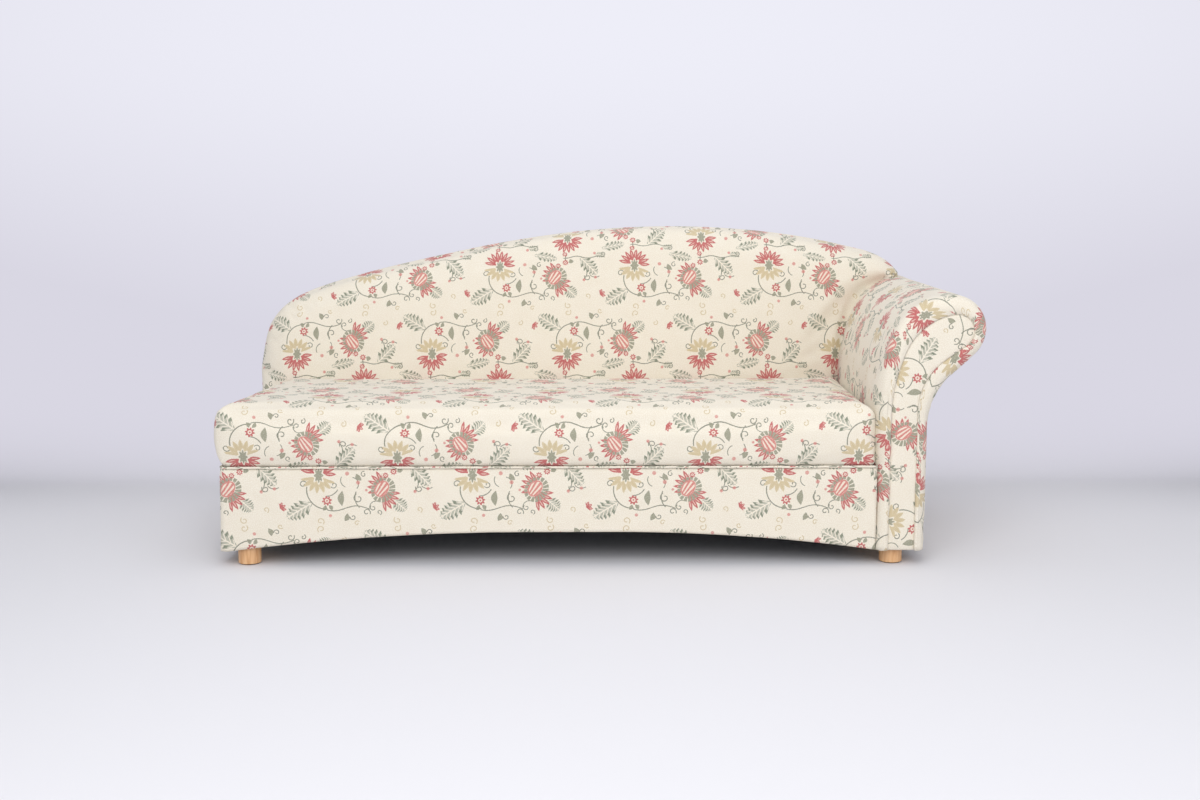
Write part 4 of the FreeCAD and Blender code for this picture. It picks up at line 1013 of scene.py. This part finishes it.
def make_arm(cloth):
    """The scroll arm's cover: wrapped over the roll, round the front edge and in to the facing."""
    points, normals, runs = ARM_OUTLINE
    seam = FACING_OUTLINE[0]
    inner = points - normals * ARM_WRAP
    rows, cloths = [], []
    for share in np.linspace(0, 1, 7):
        spot = seam + (inner - seam) * share
        bulge = ARM_BULGE * math.sin(math.pi * min(1.0, share * 0.62 + 0.02))
        rows.append(stood(spot, ARM_FRONT - bulge))
        cloths.append(ARM_WRAP * (QUARTER - 1) + np.linalg.norm(spot - points, axis=1))
    proud = ARM_FRONT - ARM_BULGE * math.sin(math.pi * 0.64)
    wrap_steps, length_steps = 7, 60
    for step in range(1, wrap_steps + 1):
        angle = QUARTER * step / wrap_steps
        out = inner + normals * ARM_WRAP * math.sin(angle)
        rows.append(stood(out, proud + (ARM_WRAP + ARM_FRONT - proud) * (1 - math.cos(angle))))
        cloths.append(np.full(len(out), ARM_WRAP * (QUARTER - angle)))
    start_y = ARM_FRONT + ARM_WRAP
    for step in range(1, length_steps + 1):
        y = start_y + (ARM_REAR - start_y) * step / length_steps
        rows.append(stood(points, y))
        cloths.append(np.full(len(points), start_y - y))
    cloth_points = [np.stack((row, runs), 1) - ARM_START for row in cloths]
    faces = grid_faces(len(rows), len(points))
    piece = make_mesh("arm_cover", np.vstack(rows), faces, np.vstack(cloth_points))
    start = co_of(piece)
    pinned = (start[:, 2] < ARM_FOOT + 0.012) | (start[:, 1] > ARM_REAR - 0.004)
    pinned[: len(points) * 2] = True
    plump(piece, 1.5, 0.004, pinned)
    thicken(piece, 0.003, 1)
    dress(piece, ("arm_inner_cover", "arm_outer_cover", "arm_foam"), cloth)


def panel(name, ring, y_edge, y_middle, softness, spacing, rear=True):
    """A puffed panel square to Y over a ring of points, with its rim turned in."""
    flat, triangles = filled(ring, spacing)
    depth = distance_to(flat, np.asarray(ring))
    y = y_edge + (y_middle - y_edge) * (1 - np.exp(-depth / softness))
    if not rear:
        upright_cloth = np.stack((-flat[:, 1], flat[:, 0]), 1) + FACING_START
        return make_mesh(name, stood(flat, y), triangles, upright_cloth)
    return make_mesh(name, stood(flat, y), [face[::-1] for face in triangles], flat * (-1, 1))


def make_facings(cloth):
    """The arm's ends: a facing let into the wrapped front edge, and a flat panel at the rear."""
    seam, ring = FACING_OUTLINE[0], ARM_OUTLINE[0]
    facing = panel("arm_facing", seam, ARM_FRONT - 0.001, SEAT_LOW.y + 0.001, 0.006, 0.007, rear=False)
    thicken(facing, 0.002)
    dress(facing, ("arm_front_facing",), cloth)
    rear = panel("arm_rear_panel", ring, ARM_REAR + 0.001, OUTSIDE_HIGH.y, 0.004, 0.012)
    thicken(rear, 0.002)
    dress(rear, ("arm_rear_facing",), cloth)


def make_outside_back(cloth):
    """The cloth panel over the rear, from the crest to the lower edge."""
    crest = BACK_OUTLINE[0]
    edge = leaned(stood(crest, BACK_FACE + depth_of_back(crest)))
    edge = edge[edge[:, 2] > BACK_FOOT]
    edge = edge[depth_in_arm(edge) < -0.001][:, [0, 2]]
    low = OUTSIDE_LOW.z
    arm = ARM_OUTLINE[0][::-1]
    ridge = arm[np.argmax(arm[:, 1])]
    arm = arm[(arm[:, 0] < edge[-1][0]) & (arm[:, 1] > low + 0.001) & (arm[:, 0] <= ridge[0])]
    ring = [(BORDER_LOW.x, low), (BORDER_LOW.x, BACK_FOOT), (edge[0][0], BACK_FOOT), *edge]
    ring += [(x - 0.0005, z) for x, z in arm]
    ring.append((ARM_INNER - 0.0005, low))
    piece = panel("outside_back_cloth", np.array(ring), BACK_REAR + 0.001, OUTSIDE_HIGH.y, 0.006, 0.016)
    thicken(piece, 0.002)
    dress(piece, ("outside_back",), cloth)


def make_border(cloth):
    """The strip round the base with its arched lower edge."""
    low, high = BORDER_LOW, BORDER_HIGH
    top = high.z + 0.001
    spacing = 0.008
    front_run = high.x - low.x - BORDER_CORNER
    side_run = high.y - low.y - BORDER_CORNER
    front_steps, corner_steps, side_steps = int(front_run / spacing), 6, int(side_run / spacing)
    plan = [(high.x - front_run * step / front_steps, low.y) for step in range(front_steps + 1)]
    plan += corner_arc(low.x, low.y, BORDER_CORNER, corner_steps)
    side_start = low.y + BORDER_CORNER
    plan += [(low.x, side_start + side_run * step / side_steps) for step in range(1, side_steps + 1)]
    plan = np.array(plan)
    round_run = BORDER_CORNER * QUARTER
    runs = np.concatenate((
        np.linspace(0, front_run, front_steps + 1),
        front_run + np.linspace(0, round_run, corner_steps + 1)[1:],
        front_run + round_run + np.linspace(0, side_run, side_steps + 1)[1:],
    ))
    foot = np.array([low_edge(x) if y < low.y + 1e-6 else low.z for x, y in plan])
    rows, cloths = [], []
    for share in np.linspace(0, 1, 28):
        z = foot + (top - foot) * share
        rows.append(np.stack((plan[:, 0], plan[:, 1], z), 1))
        cloths.append(np.stack((high.x - runs, z), 1) - BASE_START)
    piece = make_mesh("base_cloth", np.vstack(rows), grid_faces(len(rows), len(plan)), np.vstack(cloths))
    co = co_of(piece)
    ripple = wobble(co * np.array((1, 1, 0.4)), 0.09, 3) * RIPPLE
    near_seam = np.exp(-(top - co[:, 2]) / 0.012)
    tuck = (wobble(co * np.array((1, 1, 0.15)), 0.016, 5) * RIPPLE + 0.0025) * near_seam
    out = outward(co)
    belly = 0.003 + 0.005 * (top - co[:, 2]) / (top - low.z)
    move_to(piece, co + out * (ripple - tuck)[:, None] + out * (1, 0, 0) * belly[:, None])
    weld(piece, 1e-6)
    thicken(piece, 0.004)
    dress(piece, ("base_border",), cloth)


def outward(co):
    """The way out of the border: to the front, or to the left round its corner."""
    corner = np.array((BORDER_LOW.x, BORDER_LOW.y)) + BORDER_CORNER
    way = -np.clip((corner - co[:, :2]) / BORDER_CORNER, 0, 1)
    way = np.column_stack((way, np.zeros(len(co))))
    return way / np.maximum(np.linalg.norm(way, axis=1), 1e-9)[:, None]


def low_edge(x):
    """Height of the border's arched lower edge over the floor."""
    crown = BORDER_LOW.z + ARCH_RISE
    for outer, inner in ((BORDER_LOW.x + BORDER_CORNER, ARCH_LEFT), (BORDER_HIGH.x, ARCH_RIGHT)):
        if (inner - outer) * (inner - x) > 0:
            radius = ((inner - outer) ** 2 + ARCH_RISE**2) / (2 * ARCH_RISE)
            return crown - radius + math.sqrt(radius**2 - (x - inner) ** 2)
    return crown


def make_piping(cloth):
    """Self-covered cord along the seam, a little puckered."""
    right, rear = PIPING_HIGH.x, PIPING_HIGH.y
    left, front = PIPING_LOW.x + CORD_RADIUS, PIPING_LOW.y + CORD_RADIUS
    spacing = 0.004
    front_steps = int((right - left - CORD_CORNER) / spacing)
    side_start = front + CORD_CORNER
    path = [(right - step * spacing, front) for step in range(front_steps + 1)]
    path += corner_arc(left, front, CORD_CORNER, 7)
    path += [(left, side_start + step * spacing) for step in range(1, int((rear - side_start) / spacing) + 1)]
    path = np.array(path)
    ahead = np.gradient(path, axis=0)
    ahead /= np.linalg.norm(ahead, axis=1)[:, None]
    out = np.stack((-ahead[:, 1], ahead[:, 0]), 1)
    spots = np.column_stack((path, np.full(len(path), SEAM)))
    reach = CORD_RADIUS * (1 + 0.10 * wobble(spots, 0.011, 8))
    lift = 0.0007 * wobble(spots, 0.03, 9)
    runs = np.concatenate(([0], np.cumsum(np.linalg.norm(np.diff(path, axis=0), axis=1))))
    sides = 10
    rows, cloths = [], []
    for side in range(sides + 1):
        angle = 2 * math.pi * side / sides
        plan = path + out * (reach * math.cos(angle))[:, None]
        rows.append(np.column_stack((plan, SEAM + lift + reach * math.sin(angle))))
        cloths.append(np.stack((right - runs, np.full(len(path), CORD_START + CORD_RADIUS * angle)), 1))
    piece = make_mesh("seam_cord", np.vstack(rows), grid_faces(len(rows), len(path)), np.vstack(cloths))
    weld(piece, 1e-6)
    dress(piece, ("seam_piping",), cloth)


def paint_frame():
    """Materials for the frame's own pieces, by the record's slots."""
    slots = {row["node"]: row["material_slot"] for row in frame["record"]["subparts"]}
    paints = {
        "leg_wood": wood_material("beech", BEECH, 0.38, 12),
        "frame_wood": wood_material("frame_timber", PINE, 0.8, 6),
        "hardboard": plain_material("pressed_board", srgb(120, 88, 60), 0.8, 300, 0.0004),
        "glide_felt": plain_material("felt", srgb(52, 46, 42), 0.95, 900, 0.0008),
        "steel": plain_material("plated_steel", srgb(178, 180, 184), 0.35, 200, 0.0001, 1.0),
        "webbing": plain_material("elastic_webbing", srgb(44, 42, 42), 0.8, 700, 0.0006),
        "lining": plain_material("spunbonded_lining", srgb(38, 38, 42), 0.9, 600, 0.0004),
        "foam": plain_material("foam", srgb(236, 226, 182), 0.9, 500, 0.0008),
    }
    for name, piece in nodes.items():
        if slots[name] in paints:
            piece.data.materials.clear()
            piece.data.materials.append(paints[slots[name]])


# Studio: a floor that sweeps up into a wall, and lamps as (place, power, size)

FLOOR = srgb(230, 229, 232)
# Painted shade: the floor's colour at its sides behind the sofa, darker where the lamps' light falls off
FLOOR_PAINTED_SHADE = srgb(160, 159, 166)
WALL = srgb(238, 238, 248)
# Painted shade: the wall's colour low down and at its sides, darker where the light falls off
WALL_PAINTED_SHADE = srgb(217, 215, 227)
# How far out to the sides the painted shade on floor and wall deepens
ASIDE = 2.6
FLOOR_REACH = (-8.0, -2.0)
FLOOR_HALF = 9.0
WALL_AT = 1.05
WALL_BEND = 0.35
WALL_TOP = 5.0
AMBIENT = 0.70
LAMPS = {
    "key": ((-0.5, -3.4, 2.7), 62, 2.6),
    "fill": ((2.6, -3.4, 1.6), 22, 2.4),
    "top": ((0.4, -0.6, 3.6), 14, 2.6),
}


def make_studio():
    """A floor that sweeps up into a pale wall, lit softly from above the camera."""
    foot = WALL_AT - WALL_BEND
    profile = [(y, 0.0) for y in (*FLOOR_REACH, foot)]
    for step in range(1, 13):
        angle = QUARTER * step / 12
        profile.append((foot + WALL_BEND * math.sin(angle), WALL_BEND * (1 - math.cos(angle))))
    profile.append((WALL_AT, WALL_TOP))
    points = [(x, y, z) for x in (-FLOOR_HALF, FLOOR_HALF) for y, z in profile]
    sweep = make_mesh("studio_sweep", points, [face[::-1] for face in grid_faces(2, len(profile))])
    sweep.data.materials.append(sweep_material())
    world = bpy.data.worlds.new("studio")
    bpy.context.scene.world = world
    world.use_nodes = True
    ambient = world.node_tree.nodes["Background"]
    ambient.inputs["Color"].default_value = (0.93, 0.95, 1.0, 1)
    ambient.inputs["Strength"].default_value = AMBIENT
    for name, (spot, power, size) in LAMPS.items():
        lamp = bpy.data.lights.new(name, "AREA")
        lamp.energy = power
        lamp.size = size
        holder = bpy.data.objects.new(name, lamp)
        bpy.context.scene.collection.objects.link(holder)
        holder.location = spot
        holder.rotation_euler = (Vector((0, 0, 0.3)) - Vector(spot)).to_track_quat("-Z", "Y").to_euler()


def sweep_material():
    """Matt floor that turns into a bright wall, which gives no light and is clear from behind; shade is
    painted on the floor at its sides behind the sofa and on the wall low down and at its sides.
    """
    material, tree, surface = new_material("studio_sweep", {"Roughness": 0.7, "Specular IOR Level": 0.1})
    x, y, z = split_vector(tree, object_place(tree))
    # Painted shade: how far a point lies to the side, which darkens floor and wall there
    side = (x / ASIDE).math("ABSOLUTE").math("POWER", 2.0)
    # Painted shade: the floor turns darker towards its sides behind the sofa
    floor = blended(tree, side.both(y.less(0.0, 1.2).flip()), FLOOR, FLOOR_PAINTED_SHADE)
    tree.links.new(floor, surface.inputs["Base Color"])
    # Painted shade: the wall's glow is darker low down and at its sides
    level = z.less(0.2, 1.3).flip() + side * -0.5
    wall_glow_with_painted_shade = add_node(tree, "ShaderNodeEmission", {"Color": blended(tree, level, WALL_PAINTED_SHADE, WALL)})
    camera_ray = Value(tree, add_node(tree, "ShaderNodeLightPath", {}).outputs["Is Camera Ray"])
    on_wall = y.less(0.55, 0.5).flip().both(camera_ray)
    shown = add_node(tree, "ShaderNodeMixShader", {0: on_wall, 1: surface.outputs[0], 2: wall_glow_with_painted_shade.outputs[0]})
    back_side = Value(tree, add_node(tree, "ShaderNodeNewGeometry", {}).outputs["Backfacing"])
    clear = add_node(tree, "ShaderNodeBsdfTransparent", {})
    from_behind = {0: back_side.both(camera_ray), 1: shown.outputs[0], 2: clear.outputs[0]}
    seen = add_node(tree, "ShaderNodeMixShader", from_behind)
    tree.links.new(seen.outputs[0], tree.nodes["Material Output"].inputs[0])
    return material


def make_camera():
    """The photograph's view: 45 mm on 36 mm film, from just left of the middle, looking down a little."""
    lens = bpy.data.cameras.new("camera")
    lens.lens = 45
    lens.sensor_width = 36
    camera = bpy.data.objects.new("camera", lens)
    bpy.context.scene.collection.objects.link(camera)
    camera.location = (-0.039, -4.240, 1.024)
    camera.rotation_euler = (math.radians(90 - 8.65), 0, math.radians(-0.64))
    bpy.context.scene.camera = camera


make_camera()
make_studio()
paint_frame()
floral = floral_material()
covers = (make_squab, make_back, make_arm, make_facings, make_outside_back, make_border, make_piping)
for make_cover in covers:
    make_cover(floral)

bpy.context.scene.view_settings.view_transform = "Standard"
